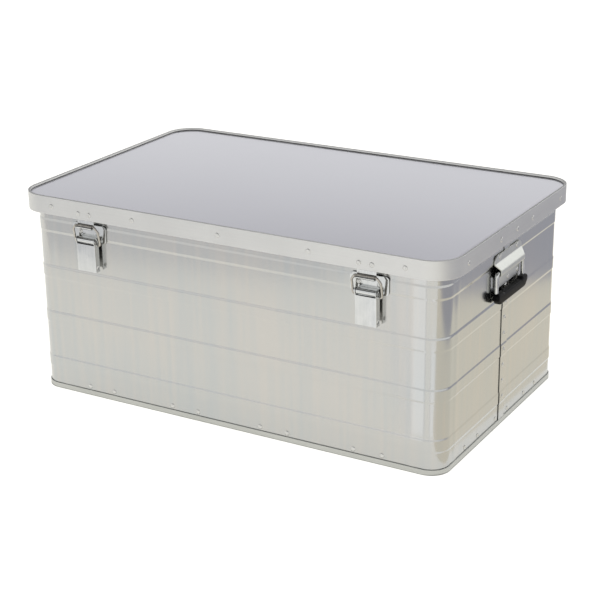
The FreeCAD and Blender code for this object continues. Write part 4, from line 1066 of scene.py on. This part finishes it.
# Bright sectors round the near corner, each from one azimuth to another, with its reach and its glow.
CORNER = (0.256, -0.147)
CORNER_START = 0.12
CORNER_GLOW = ((-32, -28, 2.4, 1.14), (-28, -24, 2.4, 1.34), (-24, -19, 2.4, 1.44), (-19, -15, 2.4, 1.26),
               (-15, -11, 2.4, 1.08), (13, 18, 0.42, 1.12), (18, 36, 0.42, 1.34), (36, 44, 0.40, 1.2),
               (44, 50, 0.38, 1.05))
for index, (start, end, reach, glow) in enumerate(CORNER_GLOW):
    card(f"corner_card_{index}", fan(CORNER, CORNER_START, start, end), fan(CORNER, reach, start, end),
         "#FFFFFF", glow)


def soft_light(name, place, aim, width, height, power, hue):
    """A rectangular soft box that points at a place."""
    light = bpy.data.lights.new(name, "AREA")
    light.shape = "RECTANGLE"
    light.size, light.size_y = width, height
    light.energy = power
    light.color = linear(hue)[:3]
    holder = new_object(name, light)
    holder.location = place
    holder.rotation_euler = (Vector(aim) - Vector(place)).to_track_quat("-Z", "Y").to_euler()
    return holder


soft_box = soft_light("overhead_soft_box", place=(-0.2, -0.4, 2.1), aim=(0, 0, 0),
                      width=2.2, height=1.6, power=21, hue="#FFFAF2")
soft_box.visible_glossy = False
soft_light("rear_rim_box", place=(1.2, 2.1, 1.4), aim=(0.28, 0, 0.2),
           width=1.2, height=0.8, power=3.6, hue="#FFFFFF")


def studio_air():
    """A room whose pale walls darken upwards, higher in front than behind, under a grey ceiling."""
    world = bpy.data.worlds.new("studio_air")
    world.use_nodes = True
    tree = world.node_tree
    tree.nodes.clear()
    way = put(tree, "ShaderNodeTexCoord").outputs["Generated"]
    parts = put(tree, "ShaderNodeSeparateXYZ", {0: way})
    slant = put(tree, "ShaderNodeVectorMath", {0: way, 1: (-0.12, 0.0, 1.0)}, operation="DOT_PRODUCT")
    front_stops = ((0.0, "#F6F6F6"), (0.28, "#F8F8F8"), (0.48, "#E8E8E8"), (0.60, "#585858"),
                   (0.78, "#2C2C2C"), (0.82, "#343434"), (0.93, "#DADADC"))
    rear_stops = ((0.10, "#F8F8F8"), (0.31, "#F8F8F8"), (0.345, "#EEEEEF"), (0.375, "#CFCFD1"),
                  (0.40, "#B8B8BC"), (0.56, "#7A7A7E"), (0.76, "#505052"), (0.93, "#DADADE"))
    walls = []
    for height, stops in ((parts.outputs["Z"], front_stops), (slant.outputs["Value"], rear_stops)):
        rise = put(tree, "ShaderNodeValToRGB", {"Fac": height})
        ramp = rise.color_ramp
        for place, hue in stops[1:-1]:
            ramp.elements.new(place)
        for element, (place, hue) in zip(ramp.elements, stops):
            element.position = place
            element.color = linear(hue)
        walls.append(rise.outputs["Color"])
    turn = put(tree, "ShaderNodeMapRange", {"Value": parts.outputs["Y"], "From Min": -0.2, "From Max": 0.4})
    around = put(tree, "ShaderNodeMix", {"Factor": turn.outputs[0], "A": walls[0], "B": walls[1]},
                 data_type="RGBA")
    air = put(tree, "ShaderNodeBackground", {"Color": around.outputs["Result"], "Strength": 1.2})
    put(tree, "ShaderNodeOutputWorld", {"Surface": air.outputs[0]})
    return world


scene.world = studio_air()
scene.view_settings.view_transform = "Standard"

PICTURE_SIDE = 600
FOCAL_PIXELS = 1562.748
CAMERA_PLACE = Vector((930.915, -1592.937, 800.178))
AZIMUTH, ELEVATION, ROLL = math.radians(30.249), math.radians(20.584), math.radians(-0.76)
back = Vector((math.sin(AZIMUTH) * math.cos(ELEVATION), -math.cos(AZIMUTH) * math.cos(ELEVATION),
               math.sin(ELEVATION)))
level_right = Vector((0, 0, 1)).cross(back).normalized()
level_up = back.cross(level_right)
right_way = math.cos(ROLL) * level_right + math.sin(ROLL) * level_up
up_way = math.cos(ROLL) * level_up - math.sin(ROLL) * level_right
lens = bpy.data.cameras.new("photo_camera")
lens.sensor_width = 36.0
lens.lens = lens.sensor_width * FOCAL_PIXELS / PICTURE_SIDE
lens.clip_start, lens.clip_end = 0.05, 50
camera = new_object("photo_camera", lens)
turned = Matrix((right_way, up_way, back)).transposed().to_4x4()
camera.matrix_world = Matrix.Translation(CAMERA_PLACE * MM) @ turned
scene.camera = camera
